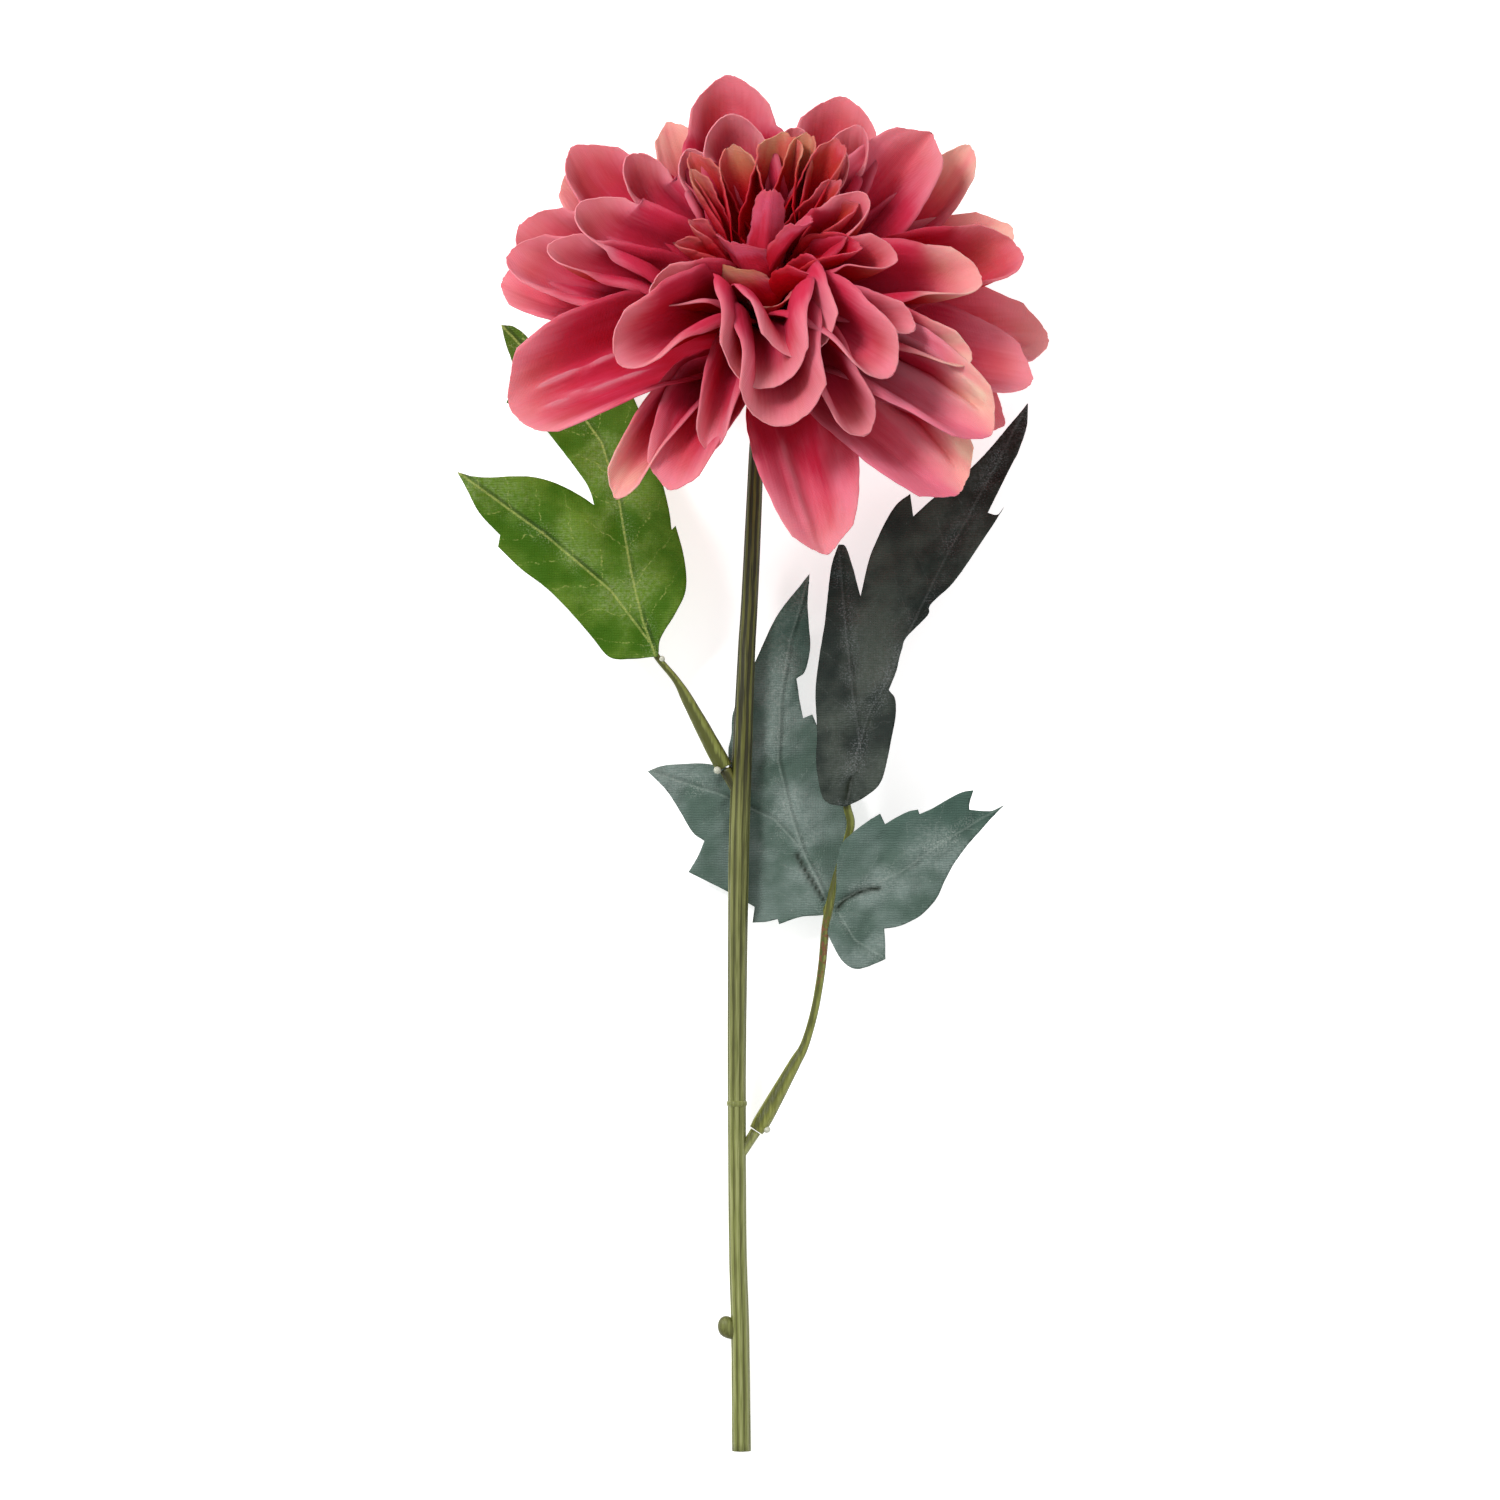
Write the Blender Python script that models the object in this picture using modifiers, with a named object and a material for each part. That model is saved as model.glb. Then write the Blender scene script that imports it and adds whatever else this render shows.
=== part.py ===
"""An artificial zinnia stem lying on a table: one bloom of many petals, and four cut leaves on two stalks."""
import math
import random

import bmesh
import bpy
import numpy as np
from mathutils import Matrix, Vector

MM = 0.001

# The stem is modelled in millimetres, as it is seen: X to the right, Y up the stem, Z towards the viewer.
# An empty then lays it on the surface, with its cut end and the bloom's back petals down.
REST_TILT = math.radians(5.6)

BLOOM_SEAT = (6.2, 331.8, 12.0)
BLOOM_LEAN = math.radians(48)
CORE_RADIUS = 14.0
CORE_BOTTOM = -6.0
CORE_TOP = 22.0
GAP = 0.3
PIN_RADIUS = 1.3
PIN_TOP = 3.0
SHOULDER = -21.7
BLADE = 0.7

# The calyx: height over the bloom's seat and radius, from the stem up
CALYX_PROFILE = [(-21.4, 3.1), (-18, 4.6), (-13, 7.5), (-9.4, 9.2), (-8.0, 8.6), (-6.8, 6.0), (-6.3, 3.0)]
SEPALS = 8
SEPAL_LINE = [(5.0, -9.6), (9.5, -8.6), (14.0, -7.2), (20.0, -5.6), (26.0, -5.0)]
SEPAL_HALF_WIDTHS = [1.6, 3.2, 3.2, 2.3, 0.5]
SEPAL_THICKNESS = 0.8

STEM_BACKWARD_SLOPE = -0.04
STEM_BEND_RADIUS = 18.0
STEM_RIBS = 8
STEM_GROOVE = 0.07
MOULDING_RING = (-1.4, 104.0, 3.1)
MOULDING_RING_HEIGHT = 1.8
LEAF_SCAR = (-4.1, 36.6)
LEAF_SCAR_RADII = (2.9, 3.9, 2.3)
LEAF_SCAR_TURN = math.radians(20)
PEG_RADIUS = 1.0
PEG_LENGTH = 3.5

# Petal kinds. Width and root (out, up) are in mm, cup, flare, lip, bow, hook and turn in degrees,
# tip is a share of the width, and grid is the number of faces across and along.
PETAL_KINDS = {
    "skirt": {
        "width": 38, "cup": 45, "flare": 115, "lip": 40, "bow": 40, "hook": 25, "tip": 0.30,
        "root": (6.5, 1), "turn": 12, "grid": (4, 4),
    },
    "wide": {
        "width": 42, "cup": 70, "flare": 110, "lip": 55, "bow": 55, "hook": 45, "tip": 0.32,
        "root": (7.5, 3), "turn": 20, "grid": (4, 4),
    },
    "spoon": {
        "width": 40, "cup": 85, "flare": 110, "lip": 70, "bow": 75, "hook": 65, "tip": 0.34,
        "root": (7, 8), "turn": 20, "grid": (4, 4),
    },
    "inner": {
        "width": 32, "cup": 90, "flare": 110, "lip": 60, "bow": 65, "hook": 50, "tip": 0.30,
        "root": (6, 13), "turn": 16, "grid": (3, 4),
    },
    "heart": {
        "width": 17, "cup": 95, "flare": 100, "lip": 0, "bow": 34, "hook": 15, "tip": 0.14,
        "root": (4, 17), "turn": 8, "grid": (2, 3),
    },
}
PETAL_COMMON = {"claw": 0.2, "peak": 0.55, "corner": 0.08, "round": 0.72, "fold": 0.0, "skew": 0.3}
PETAL_SEED = 7

# Every petal by its kind, its place round the bloom and its lean from the bloom's axis in degrees,
# its reach in mm, and what sets it apart from its kind
PETALS = [
    # Back ring, from the right over the top to the front
    ("skirt", 344, 90, 82, {}),
    ("skirt", 6, 98, 86, {"width": 36}),
    ("skirt", 29, 89, 86, {"width": 32}),
    ("skirt", 62, 97.5, 88, {}),
    ("skirt", 108, 86, 88, {"width": 24}),
    ("skirt", 115, 97, 88, {}),
    ("skirt", 132, 87, 87, {}),
    ("skirt", 157, 98, 85, {"width": 34}),
    ("skirt", 209, 85, 84, {"width": 50, "cup": 60, "lip": 20, "tip": 0.42, "turn": 22}),
    ("skirt", 236, 92, 76, {"width": 30, "cup": 85, "hook": 0, "tip": 0.2}),
    ("skirt", 246, 87, 71, {"width": 28, "hook": 0, "tip": 0.42}),
    ("skirt", 284, 98, 80, {
        "width": 35, "cup": 40, "bow": 20, "hook": 0, "tip": 0.3, "round": 0.9, "fold": 0.12,
    }),
    ("skirt", 315, 96, 81, {"width": 40}),
    ("skirt", 332, 92, 79, {"width": 26}),
    # Second ring
    ("wide", 322, 86, 83, {"width": 40}),
    ("wide", 17, 86, 82, {"width": 48, "cup": 85}),
    ("wide", 42, 84, 92, {"width": 26}),
    ("wide", 48, 67, 82, {"width": 34, "cup": 40, "fold": 0.35, "hook": 10, "tip": 0.16}),
    ("wide", 69, 75, 85, {"width": 50}),
    ("wide", 100, 67, 86, {"width": 47}),
    ("wide", 136, 78, 85, {}),
    ("wide", 153, 89, 83, {}),
    ("wide", 166, 84, 80, {"width": 36}),
    # Third ring
    ("spoon", 332, 77, 71, {"width": 26}),
    ("spoon", 354, 73, 70, {}),
    ("spoon", 60, 68, 75, {"width": 34}),
    ("spoon", 100, 59, 72, {"width": 48, "hook": 70}),
    ("spoon", 133, 69, 71, {"width": 36}),
    ("spoon", 161, 68, 69, {"width": 42}),
    ("spoon", 172, 74, 70, {"width": 30}),
    ("spoon", 224, 67, 64, {"width": 44}),
    ("spoon", 254, 80, 60, {"width": 26, "tip": 0.15, "hook": 0}),
    ("spoon", 276, 72, 61, {"width": 52, "tip": 0.5}),
    ("spoon", 300, 78, 63, {"width": 38}),
    ("spoon", 308, 66, 67, {"width": 40}),
    ("spoon", 327, 64, 61, {"width": 32}),
    ("spoon", 210, 52, 52, {"width": 40}),
    ("spoon", 269, 62, 59, {"width": 52, "tip": 0.5}),
    ("inner", 287, 52, 59, {"width": 44, "tip": 0.5}),
    # Inner ring and heart
    ("inner", 20, 42, 58, {}),
    ("inner", 58, 55, 63, {}),
    ("inner", 76, 57, 66, {}),
    ("inner", 350, 50, 56, {}),
    ("heart", 102, 42, 60, {"width": 29, "tip": 0.3}),
    ("heart", 81, 42, 62, {"width": 30, "tip": 0.2}),
    ("heart", 69, 42, 63, {"width": 24, "tip": 0.25}),
    ("heart", 56, 42, 64, {"width": 24, "tip": 0.25}),
    ("heart", 132, 36, 57, {}),
    ("heart", 164, 30, 50, {}),
    ("heart", 174, 34, 48, {}),
    ("heart", 222, 28, 52, {"width": 26, "tip": 0.4, "hook": 60}),
    ("heart", 240, 34, 50, {"width": 26, "tip": 0.4, "hook": 60}),
    ("heart", 276, 30, 43, {"width": 22}),
]

# The stem's middle line and radius, from the cut end up
STEM_ROUTE = [
    (0.0, 0, 2.85),
    (-0.4, 36, 2.75),
    (-1.1, 60, 2.7),
    (-1.4, 100, 2.75),
    (-1.3, 135, 2.9),
    (-0.8, 180, 3.1),
    (0.1, 207, 3.0),
    (1.5, 240, 2.65),
    (2.4, 255, 2.55),
    (3.8, 285, 2.4),
    (4.5, 301.7, 2.2),
]

# Stubs on the stem, where the leaf stalks are pushed on: start, end and end radius
STUB_LEFT = ((-1.4, 198.4, -8.0), (-4.9, 204.6, -8.0), 2.0)
STUB_RIGHT = ((-0.6, 88.0, -3.6), (4.3, 95.6, -3.9), 1.7)

# Stalks: middle line and radius, from the sleeve that sits on the stub to the leaf
STALK_LEFT = [
    (-5.1, 205.0, -8.0, 2.6),
    (-7.6, 209.5, -8.0, 2.7),
    (-15.4, 224.0, -8.0, 2.0),
    (-19.6, 231.3, -8.0, 1.2),
    (-26.0, 239.3, -8.1, 1.0),
    (-28.2, 246.0, -8.4, 0.8),
]
STALK_RIGHT = [
    (4.5, 95.9, -3.9, 2.3),
    (7.2, 100.1, -4.0, 2.7),
    (15.9, 115.8, -4.0, 1.9),
    (19.1, 121.8, -4.0, 1.4),
    (22.1, 132.3, -4.0, 1.25),
    (24.1, 144.3, -4.0, 1.25),
    (25.3, 156.3, -4.0, 1.3),
    (26.6, 163.5, -4.0, 1.4),
    (27.8, 170.7, -3.7, 1.2),
    (30.1, 182.4, -3.0, 1.1),
    (32.4, 188.4, -2.5, 1.05),
    (31.7, 194.5, -2.1, 1.0),
    (33.4, 202.0, -2.6, 0.8),
]
STALK_FORK = [
    (26.0, 160.0, -4.0, 1.25),
    (25.0, 166.5, -5.0, 1.0),
    (22.5, 171.5, -7.5, 0.8),
]

# Leaf outlines in mm. Each run is a smooth stretch between two sharp corners, the corner being in both runs.
LEAF_LEFT_RUNS = [
    [(-26.8, 238.3), (-25.1, 238.9), (-24.4, 243.9), (-20.1, 251.1), (-17.2, 256.8), (-16.6, 262.2),
     (-17.6, 269.7), (-19.9, 277.9)],
    [(-19.9, 277.9), (-21.1, 276.6)],
    [(-21.1, 276.6), (-21.8, 282.1), (-23.6, 289.8), (-27.1, 300.3), (-29.5, 309.3), (-32.5, 316.5),
     (-35.2, 322.8), (-38.9, 326.7)],
    [(-38.9, 326.7), (-41.2, 324.9)],
    [(-41.2, 324.9), (-45.4, 329.7), (-51.4, 331.8), (-56.9, 332.1), (-63.1, 333.3)],
    [(-63.1, 333.3), (-66.3, 337.2), (-69.8, 339.6), (-73.4, 340.1)],
    [(-73.4, 340.1), (-72.0, 334.3), (-70.0, 328.6), (-68.8, 322.8), (-71.4, 315.9)],
    [(-71.4, 315.9), (-66.5, 313.2), (-61.0, 309.3), (-56.5, 303.9), (-49.6, 294.8), (-46.2, 289.6),
     (-44.4, 284.1)],
    [(-44.4, 284.1), (-48.4, 286.9), (-55.0, 290.4), (-61.7, 292.5), (-68.5, 292.9), (-76.1, 292.5),
     (-81.5, 292.9), (-85.6, 294.0)],
    [(-85.6, 294.0), (-82.8, 288.9), (-79.0, 281.7), (-72.8, 275.1)],
    [(-72.8, 275.1), (-73.4, 271.6)],
    [(-73.4, 271.6), (-66.5, 264.9), (-58.9, 259.2), (-52.2, 252.6), (-45.4, 244.8), (-39.8, 238.3),
     (-33.1, 237.7), (-26.8, 238.3)],
]
LEAF_LEFT_RIBS = [
    [(-25.9, 238.5, -6.6), (-29.8, 249.3, -6.8), (-33.4, 264.3, -8.0), (-37.0, 285.3, -12.0),
     (-42.4, 303.3, -17.0), (-52.9, 318.3, -24.0), (-73.3, 339.9, -29.0)],
    [(-28.1, 243.3, -6.7), (-39.4, 258.3, -8.0), (-58.9, 274.8, -9.5), (-85.6, 294.0, -8.0)],
]
LEAF_BEHIND_RUNS = [
    [(26.2, 162.3), (25.0, 160.8), (17.8, 160.0), (11.3, 157.8)],
    [(11.3, 157.8), (10.9, 159.3)],
    [(10.9, 159.3), (7.3, 158.5), (3.3, 158.2)],
    [(3.3, 158.2), (4.0, 162.9)],
    [(4.0, 162.9), (-4.3, 167.5), (-10.3, 170.5), (-16.0, 173.3)],
    [(-16.0, 173.3), (-13.2, 178.2), (-11.2, 182.8)],
    [(-11.2, 182.8), (-14.8, 185.4), (-18.4, 191.4), (-22.8, 198.2), (-28.4, 203.8)],
    [(-28.4, 203.8), (-24.1, 205.5), (-17.6, 206.1), (-11.2, 206.2), (-3.8, 204.9)],
    [(-3.8, 204.9), (-4.0, 210.3), (-3.1, 214.8), (-2.2, 222.9), (4.0, 236.7), (10.5, 250.5), (17.8, 260.1),
     (20.6, 263.7)],
    [(20.6, 263.7), (20.0, 255.3), (20.3, 248.8), (20.8, 241.6), (19.3, 234.4), (16.6, 231.9)],
    [(16.6, 231.9), (17.4, 226.3), (18.6, 219.9)],
    [(18.6, 219.9), (21.4, 221.1)],
    [(21.4, 221.1), (24.1, 214.8), (28.1, 207.3), (31.0, 199.8), (32.2, 190.8), (31.0, 178.8),
     (28.9, 169.8), (26.2, 162.3)],
]
LEAF_BEHIND_RIBS = [
    [(26.2, 163.5, -6.0), (22.5, 171.5, -8.9), (18.4, 179.7, -10.3), (14.5, 191.7, -12.0),
     (10.9, 207.3, -13.5), (11.5, 225.3, -14.0), (14.5, 243.3, -15.0), (20.6, 263.7, -16.0)],
    [(17.6, 180.9, -10.6), (9.8, 189.3, -12.5), (-6.5, 196.8, -13.5), (-28.3, 203.7, -14.0)],
]
LEAF_DARK_RUNS = [
    [(31.3, 193.3), (28.9, 193.7), (26.1, 194.4), (24.0, 197.1), (22.4, 206.2), (22.7, 216.0),
     (22.2, 228.0), (23.4, 238.5), (25.0, 248.1), (25.8, 255.3), (27.1, 265.8), (29.2, 272.1)],
    [(29.2, 272.1), (31.3, 271.5), (33.4, 265.5), (35.8, 256.5)],
    [(35.8, 256.5), (38.2, 267.0), (40.4, 272.8), (43.7, 279.6), (47.1, 284.7), (50.9, 287.6)],
    [(50.9, 287.6), (51.8, 280.8)],
    [(51.8, 280.8), (58.9, 287.2), (67.0, 293.4), (73.6, 299.8), (80.8, 308.2), (87.1, 315.8)],
    [(87.1, 315.8), (86.7, 309.0), (84.3, 301.9)],
    [(84.3, 301.9), (83.7, 300.3), (80.0, 293.1), (74.5, 282.1)],
    [(74.5, 282.1), (77.4, 281.5), (79.5, 283.9)],
    [(79.5, 283.9), (77.4, 280.5), (70.6, 270.3), (64.0, 261.0), (56.9, 254.1), (56.1, 250.9),
     (49.6, 244.2), (48.0, 240.0), (46.4, 233.7), (44.2, 228.3)],
    [(44.2, 228.3), (46.1, 225.7), (46.3, 220.7), (44.9, 213.3), (43.7, 207.3), (41.6, 200.4),
     (37.0, 196.2), (31.3, 193.3)],
]
LEAF_DARK_RIBS = [
    [(31.6, 194.1, -0.5), (34.9, 210.3, -1.0), (37.9, 220.8, -2.0), (43.9, 231.3, -3.0),
     (49.0, 243.3, -5.0), (61.0, 267.3, -10.0), (77.5, 297.3, -18.0), (87.1, 315.9, -22.0)],
    [(35.5, 211.8, -1.2), (33.1, 228.3, -2.0), (31.0, 249.3, -4.0), (29.2, 271.8, -6.0)],
]
LEAF_RIGHT_RUNS = [
    [(27.8, 162.9), (26.4, 157.8), (25.9, 155.4), (27.0, 152.7), (29.2, 148.5), (31.6, 145.8),
     (34.3, 144.6), (36.9, 145.0), (40.0, 146.2), (43.1, 147.6)],
    [(43.1, 147.6), (43.0, 152.4), (42.8, 156.7)],
    [(42.8, 156.7), (46.9, 157.4), (50.3, 158.8), (54.1, 161.1), (58.3, 165.7), (60.7, 170.7),
     (63.7, 176.4), (67.6, 181.8), (73.3, 188.3), (78.4, 193.7)],
    [(78.4, 193.7), (74.8, 192.1), (71.4, 192.1), (68.1, 192.5)],
    [(68.1, 192.5), (68.3, 194.8), (69.4, 198.3)],
    [(69.4, 198.3), (66.0, 197.7), (61.8, 195.6), (57.2, 192.9), (53.2, 191.1)],
    [(53.2, 191.1), (52.7, 192.5)],
    [(52.7, 192.5), (49.9, 191.9), (46.1, 190.0), (43.0, 188.1)],
    [(43.0, 188.1), (41.5, 191.3)],
    [(41.5, 191.3), (38.5, 189.4), (35.0, 186.9), (32.7, 184.9), (30.1, 182.2), (28.6, 176.4),
     (28.5, 168.9), (27.8, 162.9)],
]
LEAF_RIGHT_RIBS = [
    [(28.3, 164.1, -2.0), (35.5, 168.3, -0.6), (47.5, 173.7, 2.0), (61.0, 183.3, 4.0), (78.1, 193.5, 5.0)],
    [(29.6, 160.8, -1.8), (34.0, 153.3, -0.6), (42.8, 147.9, 0.5)],
]
LEAF_GRID = 8.0
WAVE_PITCH = 34.0
WAVE_REACH = 12.0


def clear_scene():
    for old in list(bpy.data.objects):
        bpy.data.objects.remove(old)


def material(name, colour, roughness):
    made = bpy.data.materials.new(name)
    made.use_nodes = True
    shader = made.node_tree.nodes["Principled BSDF"]
    shader.inputs["Base Color"].default_value = (*colour, 1)
    shader.inputs["Roughness"].default_value = roughness
    shader.inputs["Metallic"].default_value = 0
    return made


def add_object(name, mesh, collection):
    made = bpy.data.objects.new(name, mesh)
    collection.objects.link(made)
    return made


def evaluated_mesh(source):
    """The object's mesh with its modifiers and curve shape worked out, its loose caps welded."""
    graph = bpy.context.evaluated_depsgraph_get()
    mesh = bpy.data.meshes.new_from_object(source.evaluated_get(graph))
    work = bmesh.new()
    work.from_mesh(mesh)
    bmesh.ops.remove_doubles(work, verts=work.verts, dist=0.00001)
    bmesh.ops.recalc_face_normals(work, faces=work.faces)
    work.to_mesh(mesh)
    work.free()
    return mesh


def smooth_route(points, steps):
    """A smooth curve through the points, with a number of steps between each two."""
    knots = [np.array(point, dtype=float) for point in points]
    ends = [2 * knots[0] - knots[1]] + knots + [2 * knots[-1] - knots[-2]]
    route = []
    for index in range(1, len(knots)):
        before, start, end, after = ends[index - 1:index + 3]
        for step in range(steps):
            t = step / steps
            linear = (end - before) * t
            square = (2 * before - 5 * start + 4 * end - after) * t ** 2
            cube = (3 * start - before - 3 * end + after) * t ** 3
            route.append(start + (linear + square + cube) / 2)
    route.append(knots[-1])
    return route


def rod(name, route, collection, sides=10, grooves=False):
    """A solid rod along a route of points (x, y, z, radius), round or with lengthwise grooves."""
    ring = bpy.data.curves.new(name + "_ring", "CURVE")
    ring.dimensions = "2D"
    turn = ring.splines.new("POLY")
    turn.points.add(sides - 1)
    turn.use_cyclic_u = True
    for index, point in enumerate(turn.points):
        angle = 2 * math.pi * index / sides
        radius = MM * (1 - STEM_GROOVE if grooves and index % 2 else 1)
        point.co = (radius * math.cos(angle), radius * math.sin(angle), 0, 1)
    ring_object = add_object(name + "_ring", ring, collection)
    line = bpy.data.curves.new(name + "_line", "CURVE")
    line.dimensions = "3D"
    line.bevel_mode = "OBJECT"
    line.bevel_object = ring_object
    line.use_fill_caps = True
    spline = line.splines.new("POLY")
    spline.points.add(len(route) - 1)
    for point, (x, y, z, radius) in zip(spline.points, route):
        point.co = (x * MM, y * MM, z * MM, 1)
        point.radius = radius
    line_object = add_object(name + "_line", line, collection)
    bpy.context.view_layer.update()
    made = add_object(name, evaluated_mesh(line_object), collection)
    bpy.data.objects.remove(line_object)
    bpy.data.objects.remove(ring_object)
    return made


def join(base, others):
    """Unite the others with the base in one Boolean on a collection, apply it, and remove the others."""
    group = bpy.data.collections.new(base.name + "_repeats")
    bpy.context.scene.collection.children.link(group)
    for other in others:
        for holder in list(other.users_collection):
            holder.objects.unlink(other)
        group.objects.link(other)
    union = base.modifiers.new("union", "BOOLEAN")
    union.operation = "UNION"
    union.operand_type = "COLLECTION"
    union.collection = group
    union.solver = "MANIFOLD"
    apply_modifiers(base)
    for other in list(group.objects):
        bpy.data.objects.remove(other)
    bpy.data.collections.remove(group)


def cut(base, cutter):
    hole = base.modifiers.new("hole", "BOOLEAN")
    hole.operation = "DIFFERENCE"
    hole.object = cutter
    hole.solver = "MANIFOLD"
    apply_modifiers(base)
    bpy.data.objects.remove(cutter)


def apply_modifiers(target):
    graph = bpy.context.evaluated_depsgraph_get()
    graph.update()
    mesh = bpy.data.meshes.new_from_object(target.evaluated_get(graph))
    target.modifiers.clear()
    target.data = mesh


def keep_main_body(target):
    """Drop loose scraps and fill sealed hollows: only the shell with the largest volume stays."""
    work = bmesh.new()
    work.from_mesh(target.data)
    bmesh.ops.triangulate(work, faces=work.faces)
    left = set(work.faces)
    shells = []
    while left:
        seed = left.pop()
        shell = [seed]
        edge_of_shell = [seed]
        while edge_of_shell:
            face = edge_of_shell.pop()
            for edge in face.edges:
                for near in edge.link_faces:
                    if near in left:
                        left.remove(near)
                        shell.append(near)
                        edge_of_shell.append(near)
        shells.append(shell)
    main = max(shells, key=shell_volume)
    for shell in shells:
        if shell is not main:
            bmesh.ops.delete(work, geom=shell, context="FACES")
    bmesh.ops.delete(work, geom=[vert for vert in work.verts if not vert.link_faces], context="VERTS")
    work.to_mesh(target.data)
    work.free()


def shell_volume(faces):
    total = 0.0
    for face in faces:
        first, second, third = (vert.co for vert in face.verts)
        total += first.dot(second.cross(third)) / 6
    return total


def petal_values(kind, place, lean, reach, own, draw):
    """All values of one petal: those of its kind, a small seeded draw, and its own."""
    petal = {**PETAL_COMMON, **PETAL_KINDS[kind]}
    facing_back = math.sin(math.radians(place))
    petal["place"] = place
    petal["lean"] = lean
    petal["reach"] = reach
    petal["roll"] = draw.uniform(-7, 7)
    petal["twist"] = draw.uniform(-8, 8)
    petal["sway"] = draw.uniform(-0.03, 0.03)
    petal["width"] *= draw.uniform(0.96, 1.04)
    petal["cup"] *= draw.uniform(0.93, 1.07)
    petal["bow"] *= 0.62 - 0.45 * facing_back
    petal["hook"] *= 0.75 + 0.5 * facing_back
    petal.update(own)
    petal["roll"] += petal["turn"] * math.cos(math.radians(place))
    petal["near"] = -math.cos(math.radians(place))
    return petal


def petal_middle_line(petal, share):
    """The petal's middle line at shares of its length: distance out, height, heading, and the length."""
    root_out, root_up = petal["root"]
    lean = math.radians(petal["lean"])
    bow = math.radians(petal["bow"])
    hook = math.radians(petal["hook"])
    out = petal["reach"] * math.sin(lean) - root_out
    up = petal["reach"] * math.cos(lean) - root_up
    way = math.atan2(out, up)
    length = math.hypot(out, up) * (bow / 2) / math.sin(bow / 2)

    def heading(part):
        end = np.clip((part - 0.62) / 0.38, 0, 1)
        curl = np.sin(end ** 1.5 * math.radians(petal["flare"] + 10))
        return way + bow * (part - 0.5) - hook * curl

    count = 80
    middles = heading((np.arange(count) + 0.5) / count)
    knots = np.linspace(0, 1, count + 1)
    outs = root_out + np.concatenate([[0], np.cumsum(np.sin(middles))]) * length / count
    ups = root_up + np.concatenate([[0], np.cumsum(np.cos(middles))]) * length / count
    return np.interp(share, knots, outs), np.interp(share, knots, ups), heading(share), length


def petal_half_width(petal, share):
    """Half the petal's width at shares of its length: a narrow claw, the widest place, and the tip."""
    before = np.clip(share / petal["peak"], 0, 1)
    rise = petal["claw"] + (1 - petal["claw"]) * np.sin(math.pi / 2 * before) ** 1.2
    past = np.clip((share - petal["peak"]) / (1 - petal["peak"]), 0, 1)
    fall = petal["tip"] + (1 - petal["tip"]) * (1 - past ** 2.2) ** petal["round"]
    return petal["width"] / 2 * rise * fall


def petal_surface(petal, across, along):
    """Points of the petal's middle surface in mm in the bloom's frame, rows along it and columns across."""
    side_share = np.linspace(-1, 1, across + 1)[None, :]
    rows = 1 - (1 - np.linspace(0, 1, along + 1)[:, None]) ** 1.6
    share = rows * (1 - petal["corner"] * side_share ** 2)
    out, up, heading, length = petal_middle_line(petal, share)
    half = petal_half_width(petal, share)
    opening = 0.5 + 0.5 * np.clip(share / 0.5, 0, 1)
    opening = opening * (1 - 0.45 * np.clip((share - 0.7) / 0.3, 0, 1) ** 2)
    cup = math.radians(petal["cup"]) * opening
    near = 1 + petal["skew"] * petal["near"] * side_share
    middle = np.sin(math.pi * np.clip((share - 0.1) / 0.85, 0, 1)) ** 0.8
    flare = np.radians(petal["flare"] + petal["lip"] * middle * near)
    inward = np.abs(side_share)[..., None] * (np.arange(10) + 0.5) / 10
    turn = cup[..., None] * np.sin(inward * flare[..., None])
    side = half * side_share * np.cos(turn).mean(-1)
    lift = half * np.abs(side_share) * np.sin(turn).mean(-1)
    lift = lift - petal["fold"] * half * np.exp(-(side_share / 0.3) ** 2)
    roll = np.radians(petal["roll"] + petal["twist"] * share)
    rolled_side = side * np.cos(roll) - lift * np.sin(roll) + petal["sway"] * length * share ** 2
    rolled_lift = side * np.sin(roll) + lift * np.cos(roll)
    radial = out - np.cos(heading) * rolled_lift
    height = up + np.sin(heading) * rolled_lift
    place = math.radians(petal["place"])
    x = radial * math.cos(place) - rolled_side * math.sin(place)
    y = radial * math.sin(place) + rolled_side * math.cos(place)
    return np.stack([x, y, height], -1)


def petal_blade(name, petal, across, along, collection):
    """One petal as a thin solid blade: a grid laid on its surface and thickened."""
    points = petal_surface(petal, across, along) * MM
    work = bmesh.new()
    bmesh.ops.create_grid(work, x_segments=across, y_segments=along, size=1)
    for vert in work.verts:
        column = round((vert.co.x + 1) / 2 * across)
        row = round((vert.co.y + 1) / 2 * along)
        vert.co = points[row, column]
    bmesh.ops.triangulate(work, faces=work.faces)
    bmesh.ops.solidify(work, geom=work.faces, thickness=BLADE * MM)
    bmesh.ops.recalc_face_normals(work, faces=work.faces)
    mesh = bpy.data.meshes.new(name)
    work.to_mesh(mesh)
    work.free()
    return add_object(name, mesh, collection)


def bloom_frame():
    """The bloom's own frame: its axis leans from the stem's line towards the viewer."""
    seat = Matrix.Translation(Vector(BLOOM_SEAT) * MM)
    return seat @ Matrix.Rotation(BLOOM_LEAN - math.pi / 2, 4, "X")


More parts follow.
